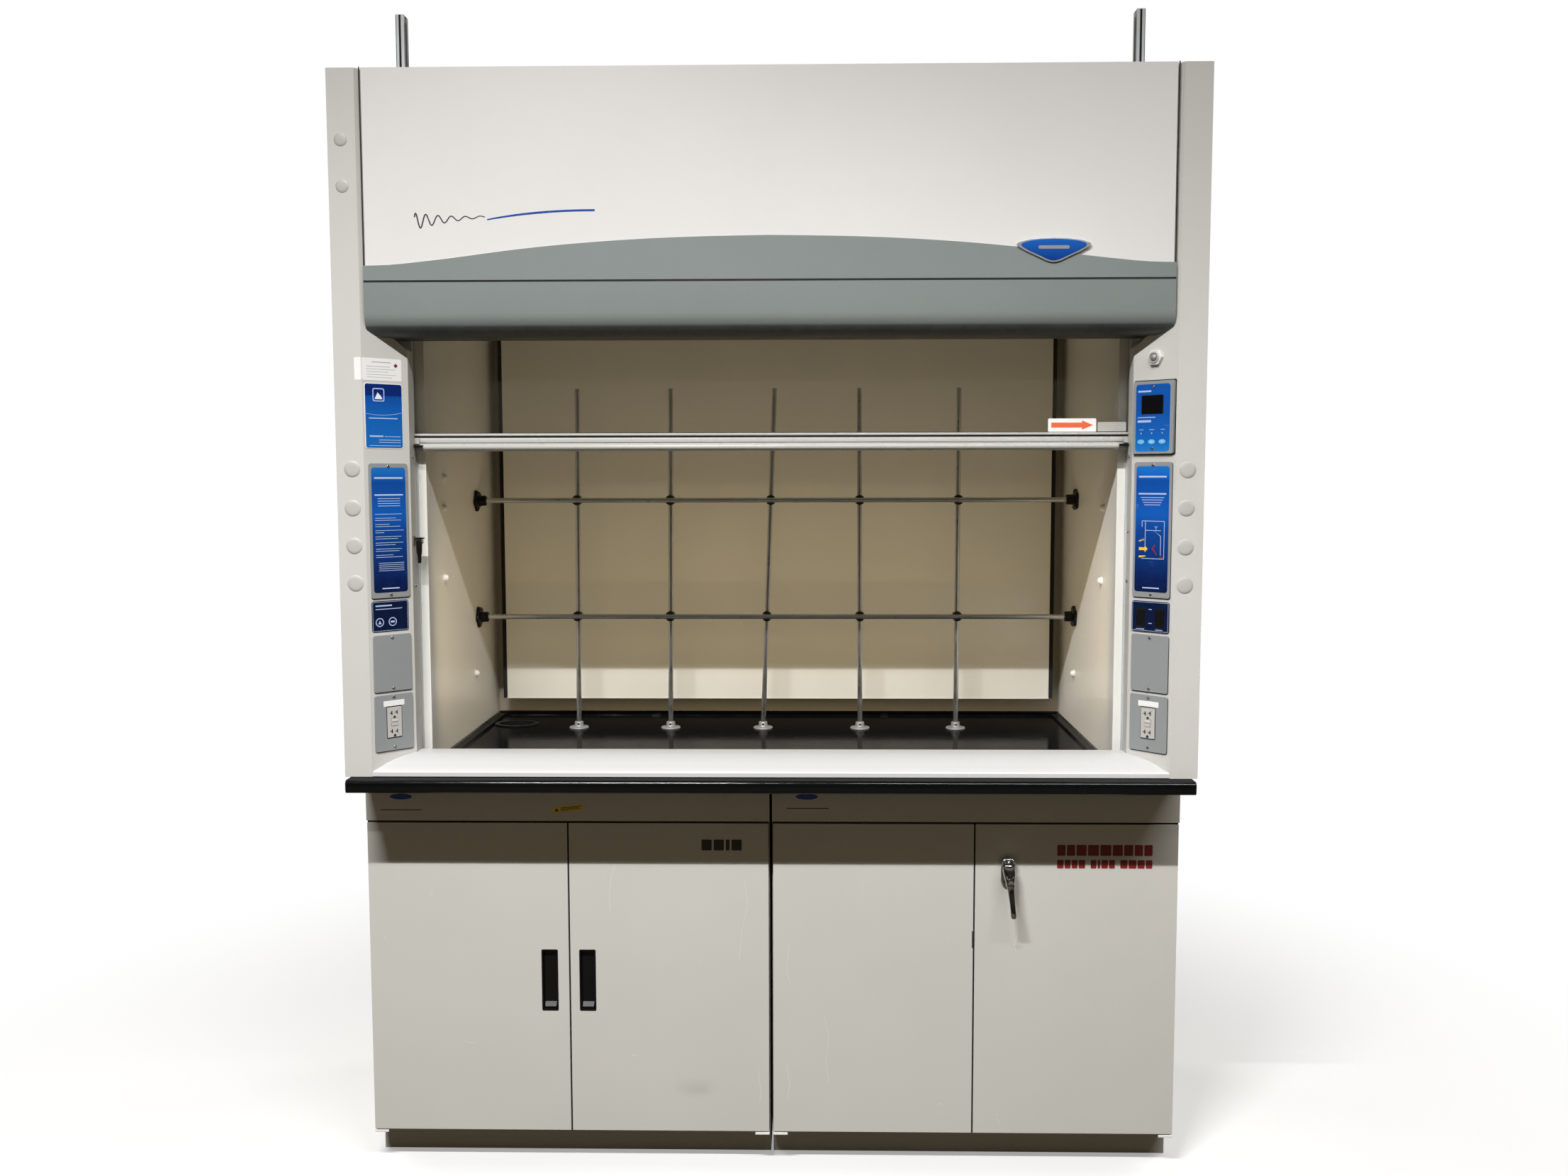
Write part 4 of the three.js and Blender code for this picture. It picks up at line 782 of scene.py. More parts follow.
# ------------------------------------------------------------------ sash
b = Build()
rail = [(143, 1577), (143, 1616), (137.6, 1616), (137.6, 1601), (130.4, 1601), (130.4, 1616), (126.4, 1616), (120.4, 1615.4), (119.2, 1614), (119.2, 1611.2), (121.5, 1610.4),
        (123.5, 1610.2), (123.5, 1606.2), (121.5, 1605.8), (119, 1605), (118.4, 1603), (118.4, 1597.5), (119.4, 1595.6), (121.5, 1595.0), (121.5, 1594.2), (119, 1594.0), (119, 1577)]
b.prism(rail, "yz", -782.5, 782.5)
for s in (-1, 1):
    b.box(min(s * 770, s * 782.5), max(s * 770, s * 782.5), 114.3, 121, 1593, 1606)
    b.box(min(s * 781, s * 822), max(s * 781, s * 822), 114.3, 117.3, 1593, 1606)
b.out("sash_handle_rail", "handle", "sash", "sill_enamel", bevel=0.5, replaces=("sash_handle",))
grip = [(120.8, 1577.0), (112, 1576.9), (106, 1577.3), (101, 1578.4), (97.4, 1580.3), (95.4, 1583.2), (95.0, 1586.2), (96.4, 1589.4), (99.6, 1592.0), (104.5, 1593.5), (110, 1594.1), (120.8, 1594.2)]
b = Build()
secs = []
for x, k in ((-758, 0.55), (-757.6, 0.80), (-756, 0.93), (-753, 1.0), (753, 1.0), (756, 0.93), (757.6, 0.80), (758, 0.55)):
    cy, cz = 112, 1585.6
    secs.append([(x, cy + (y - cy) * (k if y < cy else 1), cz + (z - cz) * k) for y, z in grip])
b.loft(secs)
b.out("sash_pull", "handle", "sash", "sill_enamel", angle=45)
# a dark strip along the rail's groove, a painted shade in it
Build().box(-782, 782, 123.45, 124.2, 1606.3, 1610.1).out("sash_groove_shade", "gap", "sash", "black_plastic", angle=60)
Build().box(-782, 782, 129.7, 130.9, 1601, 1617.2).box(-782, 782, 137.1, 138.3, 1601, 1617.2).out("sash_glazing_bead", "black", "sash", "black_plastic", bevel=0.2)
for s, lab in SIDES:
    a, c = sorted((s * 761, s * 781.5))
    Build().box(a, c, 104, 119, 1585.5, 1590.5).out("sash_end_guide_" + lab, "black", "sash", "black_plastic", bevel=1.0)
# labels stuck to the pane
Build().prism(rounded(609, 714, 1617, 1646, 2.5), "xz", 130.55, 130.9).out("sash_arrow_label", "white", "sash", bevel=0.1)
b = Build()
b.prism([(616, 1626), (683, 1626), (683, 1621.5), (707, 1631.5), (683, 1641.5), (683, 1637), (616, 1637)], "xz", 130.4, 130.56)
b.out("sash_arrow", "orange", "sash", angle=60)
Build().prism(rounded(717, 779, 1618, 1638, 1), "xz", 130.6, 130.9).out("sash_clear_label", "plug", "sash", angle=60)
b = Build()
for i, z in enumerate((1634, 1630, 1626, 1622)):
    b.box(720, 775 - 7 * (i % 3), 130.52, 130.62, z, z + 0.9)
b.out("sash_label_bars", "greyink", "sash", angle=60)

# ------------------------------------------------------------------ sash stop
Build().prism([(86.5, 1370), (101.5, 1370), (101.5, 1392), (86.5, 1392)], "yz", -781.5, -777).out("stop_bracket_plate", "chrome", bevel=1.0, seg=3)
b = Build().prism([(-792, 1383.5), (-780, 1381.5), (-759, 1384), (-758.5, 1389), (-792, 1389.5)], "xz", 87.6, 100.4)
b.out("stop_bracket_cap", "chrome", bevel=1.4, seg=3)
Build().lathe([(0, 0), (3.9, 0), (3.9, 1.6), (2.8, 2.6), (0, 2.9)], (-762.9, 94, 1379), (1, 0, 0), 24).out("stop_pivot_head", "chrome", angle=50)
secs = []
for z, hy, hx in ((1383.2, 4.2, 5.0), (1380, 5.0, 6.3), (1372, 4.9, 6.4), (1358, 4.2, 5.9), (1352, 3.6, 5.2), (1350, 3.0, 4.3), (1340, 2.8, 4.1), (1333.4, 2.6, 3.8), (1332.2, 1.8, 2.9)):
    ring = []
    for k in range(16):
        a = 2 * math.pi * k / 16
        ring.append((-769.5 + hx * math.copysign(abs(math.cos(a)) ** 0.7, math.cos(a)), 94 + hy * math.copysign(abs(math.sin(a)) ** 0.7, math.sin(a)), z))
    secs.append(ring)
Build().loft(secs).out("sash_stop_grip", "black", "sash_stop", "black_plastic", angle=50, replaces=("sash_stop_lever",))

# ------------------------------------------------------------------ wire ropes over the sheaves
CX, FY, RY, SZ, OFF = 815.0, 142.6, 835.0, 2315.0, 26.8


def rope(name, pts, sx, **kw):
    """A twisted wire rope: seven strands read as one tube with a helical rib."""
    b = Build()
    b.tube(pts, 1.35, 10)
    total, prev = 0.0, Vector(pts[0])
    for ph in (0.0, math.pi):
        rib, run, last = [], 0.0, Vector(pts[0])
        for k, p in enumerate(pts):
            p = Vector(p)
            run += (p - last).length
            last = p
            d = (Vector(pts[min(k + 1, len(pts) - 1)]) - Vector(pts[max(k - 1, 0)])).normalized()
            nx = Vector((1, 0, 0))
            ny = d.cross(nx).normalized()
            a = run / 14.0 * 2 * math.pi + ph
            rib.append(p + (nx * math.cos(a) + ny * math.sin(a)) * 0.95)
        b.tube(rib, 0.6, 6)
    return b.out(name, "wire", slot="wire_steel", angle=60, **kw)


def line(y, z0, z1, x, step=3.5):
    n = max(2, int(abs(z1 - z0) / step))
    return [(x, y, z0 + (z1 - z0) * i / n) for i in range(n + 1)]


for s, lab in SIDES:
    x = s * CX
    top = [(x, FY - OFF * math.cos(math.radians(a)), SZ + OFF * math.sin(math.radians(a))) for a in range(0, 91, 5)]
    n = int((RY - FY) / 3.5)
    top += [(x, FY + (RY - FY) * i / n, SZ + OFF) for i in range(1, n)]
    top += [(x, RY + OFF * math.sin(math.radians(a)), SZ + OFF * math.cos(math.radians(a))) for a in range(0, 91, 5)]
    rope("cable_run_" + lab, top, x, body="casing", replaces=("sash_cable_" + lab,))
    rope("cable_sash_" + lab, line(FY - OFF, SZ, 1606, x), x, blend=("casing", "sash", P(x, FY - OFF, SZ), P(x, FY - OFF, 1606)))
    rope("cable_weight_" + lab, line(RY + OFF, SZ, 1076, x), x, blend=("casing", "counterweight", P(x, RY + OFF, SZ), P(x, RY + OFF, 1076)))
    Build().lathe([(0, 0), (4, 0), (4.6, 1), (4.6, 14), (3.0, 18), (1.6, 20), (0, 20)], (x, FY - OFF, 1606), (0, 0, 1), 20).out("cable_clamp_sash_" + lab, "screw", "sash", angle=50)
    Build().lathe([(0, 0), (4, 0), (4.6, 1), (4.6, 14), (3.0, 18), (1.6, 20), (0, 20)], (x, RY + OFF, 1075.5), (0, 0, 1), 20).out("cable_clamp_weight_" + lab, "screw", "counterweight", angle=50)

# ------------------------------------------------------------------ lattice
CROSS_Y, UP_Y = 590.0, 612.0
Z0 = 870.3
for i, (xb, xt) in enumerate(((-512, -505), (-273, -266), (-33, -1), (218, 214), (465, 467)), 1):
    at = lambda z: xb + (xt - xb) * (z - Z0) / (1745 - Z0)
    pts = [(at(z), UP_Y, z) for z in [872 + (1743.5 - 872) * k / 12 for k in range(13)]] + [(at(1744.6), UP_Y, 1744.6), (at(1745), UP_Y, 1745.0)]
    Build().tube(pts, [6.35] * 13 + [5.9, 4.6], 28).out(f"upright_rod_{i}", "rod", slot="rod_steel", angle=40, replaces=(f"lattice_upright_{i}",))
    prof = [(0, 0), (25, 0), (25, 2.2), (24, 3.6), (21, 4.4), (13.6, 4.8), (12.4, 6.4), (11.6, 10), (11.2, 15.4), (10.2, 16.8), (7.2, 17.0), (0, 17.0)]
    Build().lathe(prof, (xb, UP_Y, Z0), (0, 0, 1), 48).out(f"upright_base_{i}", "flange", angle=40)
    for k in range(3):
        a = math.radians(90 + 120 * k)
        screw(f"upright_base_screw_{i}_{k}", (xb + 17.5 * math.cos(a), UP_Y + 17.5 * math.sin(a), Z0 + 4.3), (0, 0, 1), 2.6, 1.4)
    screw(f"upright_base_grub_{i}", (xb, UP_Y - 10.9, Z0 + 11.5), (0, -1, 0), 2.4, 2.2, material="black")
    for j, z in enumerate((1461, 1163)):
        x = at(z)
        prof = [(0, -9.4), (8, -9.4), (11.6, -8.6), (13.0, -6.6), (13.2, -2), (13.2, 14), (12.6, 17), (10.4, 19.0), (7.2, 19.6), (6.4, 19.2), (5.6, 17.2), (0, 17.2)]
        Build().lathe([(r, h) for r, h in prof], (x, UP_Y - 4, z), (0, -1, 0), 40, 12, 0.05).out(f"clamp_body_{i}_{j}", "black", slot="black_plastic", angle=45)
        Build().lathe([(0, 16.9), (4.6, 16.9), (4.6, 19.4), (3.6, 20.4), (2.2, 20.6), (2.0, 18.6), (0, 18.4)], (x, UP_Y - 4, z), (0, -1, 0), 6).out(f"clamp_screw_{i}_{j}", "dark", angle=30)
for name, z in (("upper", 1461), ("lower", 1163)):
    Build().tube([(-758, CROSS_Y, z), (-400, CROSS_Y, z), (0, CROSS_Y, z), (400, CROSS_Y, z), (758, CROSS_Y, z)], 6.35, 28).out("crossbar_rod_" + name, "rodx", slot="rod_steel", angle=40, replaces=("lattice_crossbar_" + name,))
    for s, lab in SIDES:
        prof = [(0, 0), (27.5, 0), (28, 1.0), (28, 5.4), (26.6, 7.2), (18, 8.2), (14.6, 9.4), (13.8, 12), (13.4, 25), (12.2, 27), (8.4, 27.6), (0, 27.6)]
        Build().lathe(prof, (s * 764.7, CROSS_Y, z), (-s, 0, 0), 60, 5, 0.16).out(f"wall_flange_{name}_{lab}", "black", slot="black_plastic", angle=42)
        for k in range(5):
            a = math.radians(72 * k)
            ax = Vector((-s, 0, 0)).orthogonal().normalized()
            ay = Vector((-s, 0, 0)).cross(ax)
            p = Vector((s * 757.2, CROSS_Y, z)) + ax * 21 * math.cos(a) + ay * 21 * math.sin(a)
            screw(f"wall_flange_screw_{name}_{lab}_{k}", p, (-s, 0, 0), 2.9, 1.8, material="dark")
        screw(f"wall_flange_grub_{name}_{lab}", (s * 745, CROSS_Y - 13.2, z), (0, -1, 0), 2.6, 2.6, material="dark")

# ------------------------------------------------------------------ chamber details
def cap_nut(name, s, y, z):
    prof = [(0, -0.3), (9.6, -0.3), (10.0, 0.5), (10.0, 1.6), (8.2, 2.2), (7.8, 5.0), (6.8, 8.0), (4.4, 10.0), (0, 10.8)]
    return Build().lathe(prof, (s * 765, y, z), (-s, 0, 0), 36).out(name, "nylon", angle=45)


for i, (y, z) in enumerate(((283, 1520), (277, 1449), (278, 1286), (554, 1021))):
    cap_nut(f"liner_nut_left_{i}", -1, y, z)
for i, (y, z) in enumerate(((274, 1447), (285, 1278), (590, 1017))):
    cap_nut(f"liner_nut_right_{i}", 1, y, z)
Build().prism(rounded(-561, 561, 189, 291, 6), "xy", 2108.8, 2110.1).out("light_lens", "diffuser", bevel=0.4)
b = Build()
for i in range(27):
    x = -546 + 42 * i
    b.box(x - 0.6, x + 0.6, 195, 285, 2107.9, 2109.0)
b.out("light_lens_ribs", "diffuser", angle=60)
for i, x in enumerate((-330, 290)):
    Build().lathe([(0, 0), (11, 0), (11.4, 0.25), (10.6, 0.6), (9.2, 0.6), (8.6, 0.2), (0, 0.3)], (x, 780, 870), (0, 0, 1), 36).out(f"surface_plug_{i}", "sink", angle=50)
b = Build().lathe([(14.4, 0), (14.4, 1.2), (13, 2.0), (11.6, 1.2), (11.6, 0), (14.4, 0)], (-686, 662, 804.5), (0, 0, 1), 36)
for k in range(3):
    b.box(-686 - 11.8, -686 + 11.8, 662 - 7 + 7 * k - 0.9, 662 - 7 + 7 * k + 0.9, 804.7, 806)
b.out("sink_strainer", "sink", angle=50)
# tapped hood-side sealing beads where the liners meet the work surface
for s, lab in SIDES:
    a, c = sorted((s * 765, s * 762.4))
    Build().prism([(s * 765.2, 876.2), (s * 761.6, 876.2), (s * 765.2, 880.0)], "xz", 152, 814).out("liner_bead_" + lab, "sink", angle=60)
Build().prism([(815.2, 876.2), (811.4, 876.2), (815.2, 880.0)], "yz", -764, 764).out("rear_bead", "sink", angle=60)
# dark strips along the baffle's side edges, a painted shade for the dark gap into the plenum
for s, lab in SIDES:
    a, c = sorted((s * 727.4, s * 737.5))
    Build().box(a, c, 741.5, 746, 927, 1893).out("baffle_gap_shade_" + lab, "gap", slot="black_plastic", bevel=0.8)
# baffle edge hem
Build().prism([(739.4, 926.2), (744.6, 926.2), (744.6, 930.2), (739.4, 930.2)], "yz", -727.2, 727.2).out("baffle_hem", "baffle", bevel=0.6)

# ------------------------------------------------------------------ fasteners on the outer skins and top
for s, lab in SIDES:
    for i, (y, z) in enumerate([(24, z) for z in (930, 1230, 1530, 1830, 2130, 2330)] + [(862, z) for z in (930, 1230, 1530, 1830, 2130, 2330)]):
        screw(f"skin_screw_{lab}_{i}", (s * 914.3, y, z), (s, 0, 0), 4.4, 0.18)
for i in range(8):
    a = math.radians(22.5 + 45 * i)
    screw(f"collar_screw_{i}", (173 * math.cos(a), 670 + 173 * math.sin(a), 2118), (0, 0, 1), 4.2, 2.6)
for i, x in enumerate((-700, -500, -250, 0, 250, 500, 700)):
    screw(f"ceiling_screw_{i}", (x, 156, 2115.0), (0, 0, 1), 4.0, 2.4)
    screw(f"ceiling_screw_back_{i}", (x, 806, 2115.0), (0, 0, 1), 4.0, 2.4) if abs(x) > 200 else None

# ------------------------------------------------------------------ cabinets
def pull_cup(name, x0, x1, body):
    z0, z1 = 311.0, 449.0
    b = Build()
    rim = rounded(x0 - 2.2, x1 + 2.2, z0 - 2.2, z1 + 2.2, 3.0, 4)
    hole = rounded(x0 + 0.8, x1 - 0.8, z0 + 0.8, z1 - 0.8, 2.4, 4)
    floor = rounded(x0 + 2.6, x1 - 2.6, z0 + 3.0, z1 - 3.0, 2.0, 4)
    rings = [(rim, 126.95), (rim, 126.0), ([(px * 0.5 + qx * 0.5, pz * 0.5 + qz * 0.5) for (px, pz), (qx, qz) in zip(rim, hole)], 125.5), (hole, 126.0), (floor, 137.8)]
    vs = [[b.bm.verts.new((px, y, pz)) for px, pz in ring] for ring, y in rings]
    faces = []
    for r0, r1 in zip(vs, vs[1:]):
        for i in range(len(r0)):
            j = (i + 1) % len(r0)
            faces.append(b.bm.faces.new((r0[i], r0[j], r1[j], r1[i])))
    faces.append(b.bm.faces.new(vs[-1]))
    bmesh.ops.recalc_face_normals(b.bm, faces=faces)
    # an open shell: turn it so that it faces the room
    if sum(f.normal.y for f in faces if len(f.verts) > 4) > 0:
        bmesh.ops.reverse_faces(b.bm, faces=faces)
    o = b.out(name, "black", body, "black_plastic", angle=40)
    sol = o.modifiers.new("wall", "SOLIDIFY")
    sol.thickness = 0.0006
    sol.offset = -1
    # thumb ledge at the foot of the recess
    Build().prism([(137.6, 314.2), (128.5, 314.2), (128.5, 317.5), (137.6, 327)], "yz", x0 + 3.2, x1 - 3.2).out(name + "_ledge", "black", body, "black_plastic", bevel=0.8)
    return o


pull_cup("pull_cup_left_outer", -519.5, -486.5, "door_left_outer")
pull_cup("pull_cup_left_inner", -433.5, -400.5, "door_left_inner")
# latch edge plate
Build().prism([(126.2, 459), (131, 459), (131, 499), (126.2, 499)], "yz", 453.2, 456.6).out("latch_edge_plate", "screw", "door_right_inner", bevel=0.6)
# dark strips behind the joints around the doors, a painted shade in the gaps
for body, x0, x1 in (("door_left_inner", -459.2, -456.65), ("door_right_inner", 456.65, 459.2)):
    Build().box(x0, x1, 128.8, 131.6, 26.5, 743.0).out(body.replace("door", "edge_gap_shade"), "gap", body, angle=60)
for body, x0, x1 in (("door_left_outer", -911.5, -460.0), ("door_left_inner", -455.5, -5.6), ("door_right_inner", 5.6, 455.5), ("door_right_outer", 460.0, 911.5)):
    Build().box(x0, x1, 128.8, 131.6, 743.6, 747.6).out(body.replace("door", "top_gap_shade"), "gap", body, angle=60)
# fascia labels, yellow tape mark, bars in place of words
FY0 = 127.0  # front face of the doors and fascia
for i, (x0, x1, z0, z1) in enumerate(((-885, -784, 767, 811), (32, 134, 773, 813))):
    Build().prism(rounded(x0, x1, z0, z1, 1.5), "xz", FY0 - 0.3, FY0 - 0.02).out(f"fascia_label_{i}", "cabinet", angle=60)
    cx = x0 + 51
    Build().prism(ellipse(cx + (0 if i == 0 else -2), z1 - 8, 25, 6.8), "xz", FY0 - 0.42, FY0 - 0.3).out(f"fascia_label_oval_{i}", "badge_oval", angle=60)
    b = Build()
    b.box(x0 + 4, x1 - 4, FY0 - 0.4, FY0 - 0.3, z0 + 4.5, z0 + 6.3)
    b.out(f"fascia_label_bar_{i}", "darkink", angle=60)
ca, sa = math.cos(math.radians(7)), math.sin(math.radians(7))
tilt = lambda c: (-455.3 + (c[0]) * ca - (c[2]) * sa, c[1], 777 + c[0] * sa + c[2] * ca)
Build().prism(rounded(-35.8, 35.8, -6.8, 6.8, 1.2), "xz", FY0 - 0.3, FY0 - 0.02).out("tape_mark", "yellow", xf=tilt, angle=60)
Build().prism([(-32, -4), (-23, -4), (-27.5, 4)], "xz", FY0 - 0.4, FY0 - 0.29).box(-18, 31, FY0 - 0.4, FY0 - 0.29, 1.5, 3.0).box(-18, 23, FY0 - 0.4, FY0 - 0.29, -1.5, -0.3).box(-18, 28, FY0 - 0.4, FY0 - 0.29, -4, -2.9).out("tape_mark_print", "darkink", xf=tilt, angle=60)
def blocks(name, material, body, rows):
    """Plain blocks in rows, standing for painted words."""
    b = Build()
    for x0, x1, z0, z1, widths, gap in rows:
        unit = (x1 - x0 - gap * (len(widths) - 1)) / sum(abs(w) for w in widths)
        x = x0
        for w in widths:
            if w > 0:
                b.prism(rounded(x, x + unit * w, z0, z1, 2.2, 3), "xz", FY0 - 0.25, FY0 - 0.02)
            x += unit * abs(w) + gap
    return b.out(name, material, body, angle=60)


blocks("door_marker_left", "darkink", "door_left_inner", [(-156, -65.5, 681.5, 706.5, (1.1, 1.1, 0.4, 1.1), 4.5)])
blocks("door_marker_right", "red", "door_right_outer", [(642.5, 855, 672, 697, (0.9, 0.9, 1.1, 1.2, 1.2, 1.1, 1, 0.9, 0.9), 3.2), (642.5, 855, 643, 662.5, (1, 0.9, 0.9, 1, -0.5, 0.9, 0.4, 1, 0.9, -0.5, 1.1, 1.2, 1.1, 1), 2.6)])
# thin scratches and a few rubbed spots on the door fronts
def ribbon(b, pts, w):
    for (x0, z0), (x1, z1) in zip(pts, pts[1:]):
        d = Vector((x1 - x0, 0, z1 - z0)).normalized()
        n = Vector((-d.z, 0, d.x)) * w / 2
        b.prism([(x0 - n.x, z0 - n.z), (x1 - n.x, z1 - n.z), (x1 + n.x, z1 + n.z), (x0 + n.x, z0 + n.z)], "xz", FY0 - 0.05, FY0 - 0.01)


for name, body, marks in (
    ("scratches_left_inner", "door_left_inner", [([(-352, 650), (-361, 618), (-366, 578), (-364, 540)], 0.8), ([(-60, 610), (-52, 560), (-66, 498), (-72, 430)], 0.7), ([(-30, 170), (-24, 120), (-27, 92)], 0.9), ([(-318, 205), (-306, 202)], 1.4)]),
    ("scratches_right_inner", "door_right_inner", [([(42, 470), (34, 410), (44, 372)], 0.8), ([(120, 300), (131, 250), (124, 190), (132, 140)], 0.8), ([(34, 190), (42, 140), (36, 100)], 0.9), ([(384, 96), (388, 92)], 1.6)]),
    ("scratches_right_outer", "door_right_outer", [([(556, 490), (549, 470), (552, 452)], 0.8), ([(512, 60), (522, 50)], 1.2)]),
    ("scratches_left_outer", "door_left_outer", [([(-880, 480), (-874, 470)], 0.9), ([(-700, 236), (-690, 231), (-676, 233)], 0.8)]),
):
    b = Build()
    for pts, w in marks:
        ribbon(b, pts, w)
    b.out(name, "scratch", body, angle=60)


def smudge(name, x, z, rx, rz, body, seed):
    """A soft-edged rubbed patch, clear at its rim."""
    m = bpy.data.materials.new(name)
    t, b = nodes_of(m)
    tc = t.nodes.new("ShaderNodeTexCoord")
    mp = t.nodes.new("ShaderNodeMapping")
    c = P(x, 0, z)
    mp.inputs["Location"].default_value = (-c.x / (rx / 1000.0), 0, -c.z / (rz / 1000.0))
    mp.inputs["Scale"].default_value = (1000.0 / rx, 0, 1000.0 / rz)
    t.links.new(tc.outputs["Object"], mp.inputs["Vector"])
    ln = t.nodes.new("ShaderNodeVectorMath")
    ln.operation = "LENGTH"
    t.links.new(mp.outputs["Vector"], ln.inputs[0])
    patchy = span(t, noise(t, tc.outputs["Object"], 38.0 + seed, 4.0, 0.65), 0.3, 0.75, 0.4, 1.0)
    t.links.new(math_node(t, "MULTIPLY", span(t, ln.outputs["Value"], 0.0, 1.0, 0.07, 0.0, True), patchy), b.inputs["Alpha"])
    b.inputs["Base Color"].default_value = (0.30, 0.27, 0.22, 1)
    b.inputs["Roughness"].default_value = 0.6
    bd = Build().prism(ellipse(x, z, rx, rz, 40), "xz", FY0 - 0.035, FY0 - 0.012)
    return bd.out(name, m, body, angle=60)


smudge("rub_left_inner", -175, 128, 62, 30, "door_left_inner", 0)
smudge("rub_right_outer", 556, 462, 20, 10, "door_right_outer", 5)
# hinge washers round the lower pins and the pale hinge leaves under the doors
for body, x in (("door_left_outer", -902.5), ("door_left_inner", -15), ("door_right_inner", 15), ("door_right_outer", 902.5)):
    Build().lathe([(3.6, 0), (6.4, 0), (6.8, 0.4), (6.8, 1.4), (6.4, 1.8), (3.6, 1.8), (3.6, 0)], (x, 137, 23.0), (0, 0, 1), 28).out("hinge_washer_" + body, "screw", "casing", angle=45)
for i, (x0, x1) in enumerate(((-912, -881), (-37, -4.2), (4.2, 37), (881, 912))):
    Build().box(x0, x1, 126.2, 169.2, 18.2, 22.8).out(f"hinge_leaf_{i}", "nylon", bevel=0.6)

# ------------------------------------------------------------------ chrome lever latch
LX, LZ = 531.0, 643.0
LEAN = math.radians(4.5)


def ring_xy(cx, cy, cz, hx, hy, n=28, p=0.8, tilt_deg=0.0):
    """A superellipse ring across the lever, turned about X by tilt."""
    out = []
    ct, st = math.cos(math.radians(tilt_deg)), math.sin(math.radians(tilt_deg))
    for k in range(n):
        a = 2 * math.pi * k / n
        x = hx * math.copysign(abs(math.cos(a)) ** p, math.cos(a))
        y = hy * math.copysign(abs(math.sin(a)) ** p, math.sin(a))
        out.append((cx + x, cy + y * ct, cz + y * st))
    return out


def lean_x(z):
    return LX + (LZ - z) * math.tan(LEAN)


lever = [(662.4, 100.0, 5, 3, 0), (661.2, 99.5, 10.2, 6.6, 0), (656.5, 98.8, 13.2, 8.6, 0), (645, 97.2, 14.2, 9.4, 0), (632, 94.0, 12.6, 9.0, -12), (619, 89.8, 9.2, 7.2, -18), (616.5, 89.2, 9.9, 7.8, -18), (612.5, 88.0, 9.7, 7.6, -18), (610, 87.2, 8.2, 6.4, -18),
         (596, 83.0, 7.0, 5.4, -18), (577, 77.4, 6.2, 4.4, -14), (561.5, 73.4, 6.0, 3.9, -8), (551.5, 71.8, 6.2, 3.8, 0), (546.2, 71.5, 5.4, 3.1, 4), (544.8, 71.5, 3.4, 1.9, 4)]
Build().loft([ring_xy(lean_x(z), y, z, hx, hy, tilt_deg=t) for z, y, hx, hy, t in lever]).out("latch_handle", "chrome", "latch_lever", "chrome", angle=60, replaces=("latch_lever",))
Build().lathe([(0, 0), (11.3, 0), (11.8, 1.2), (11.8, 9.0), (10.8, 10.4), (0, 10.6)], (LX, 118.7, LZ), (0, -1, 0), 40).out("latch_hub", "chrome", "latch_lever", angle=40)
Build().lathe([(0, 0), (8.2, 0), (8.2, 3.0), (7.4, 4.4), (6.2, 4.6), (5.8, 3.5), (0, 3.3)], (LX + 1, 89.2, 633.5), (0, -0.95, 0.31), 32).out("latch_lock_cylinder", "chrome", "latch_lever", angle=40)
# the key slot and the ring round the lock cylinder are dark pieces, a painted shade in the keyway and the gap
Build().box(LX + 0.2, LX + 1.8, 83.0, 86.6, 631.4, 638.6).out("latch_keyway_shade", "gap", "latch_lever", angle=60)
Build().lathe([(9.6, -0.6), (9.9, 0.0), (9.9, 1.4), (8.9, 1.9), (8.2, 1.4), (8.2, -0.6), (9.6, -0.6)], (LX + 1, 89.6, 633.3), (0, -0.95, 0.31), 32).out("latch_lock_gap_shade", "gap", "latch_lever", angle=40)
for dx in (-9.4, 0.0, 9.4):
    Build().lathe([(0, 0), (4.4, 0), (4.6, 1.8), (3.7, 3.6), (1.7, 4.4), (0, 4.4)], (LX + dx, 106.5, 664.5 - 3.4 * (dx == 0)), (0, -1, 0), 24).out("latch_ear_" + {-9.4: "a", 0.0: "b", 9.4: "c"}[dx], "chrome", "door_right_outer", angle=45)
Build().prism(rounded(LX - 14.7, LX + 14.7, 603.2, 670.4, 13.6, 6), "xz", 118.8, 121.5).out("latch_base_lip", "chrome", "door_right_outer", bevel=1.1, seg=4)
Build().prism(rounded(LX - 14.2, LX + 14.2, 655.5, 669.8, 5, 5), "xz", 106.2, 119.5).out("latch_base_boss", "chrome", "door_right_outer", bevel=1.8, seg=4)
Build().box(LX - 12.6, LX + 12.6, 105.9, 107.4, 654.9, 658.2).out("latch_base_shadow", "gap", "door_right_outer", bevel=0.4)

# ------------------------------------------------------------------ stage, light and camera
bpy.ops.mesh.primitive_plane_add(size=80, location=(0, 0, -0.0005))
floor = bpy.context.object
floor.name = "floor"
fm = bpy.data.materials.new("floor_paint")
ft, fb = nodes_of(fm)
ftc = ft.nodes.new("ShaderNodeTexCoord")
fb.inputs["Roughness"].default_value = 0.65
fb.inputs["Specular IOR Level"].default_value = 0.1
pale = mix(ft, span(ft, noise(ft, ftc.outputs["Object"], 1.3, 3.0, 0.5), 0.3, 0.7, 0.0, 1.0), (0.74, 0.735, 0.725), (0.78, 0.775, 0.765))
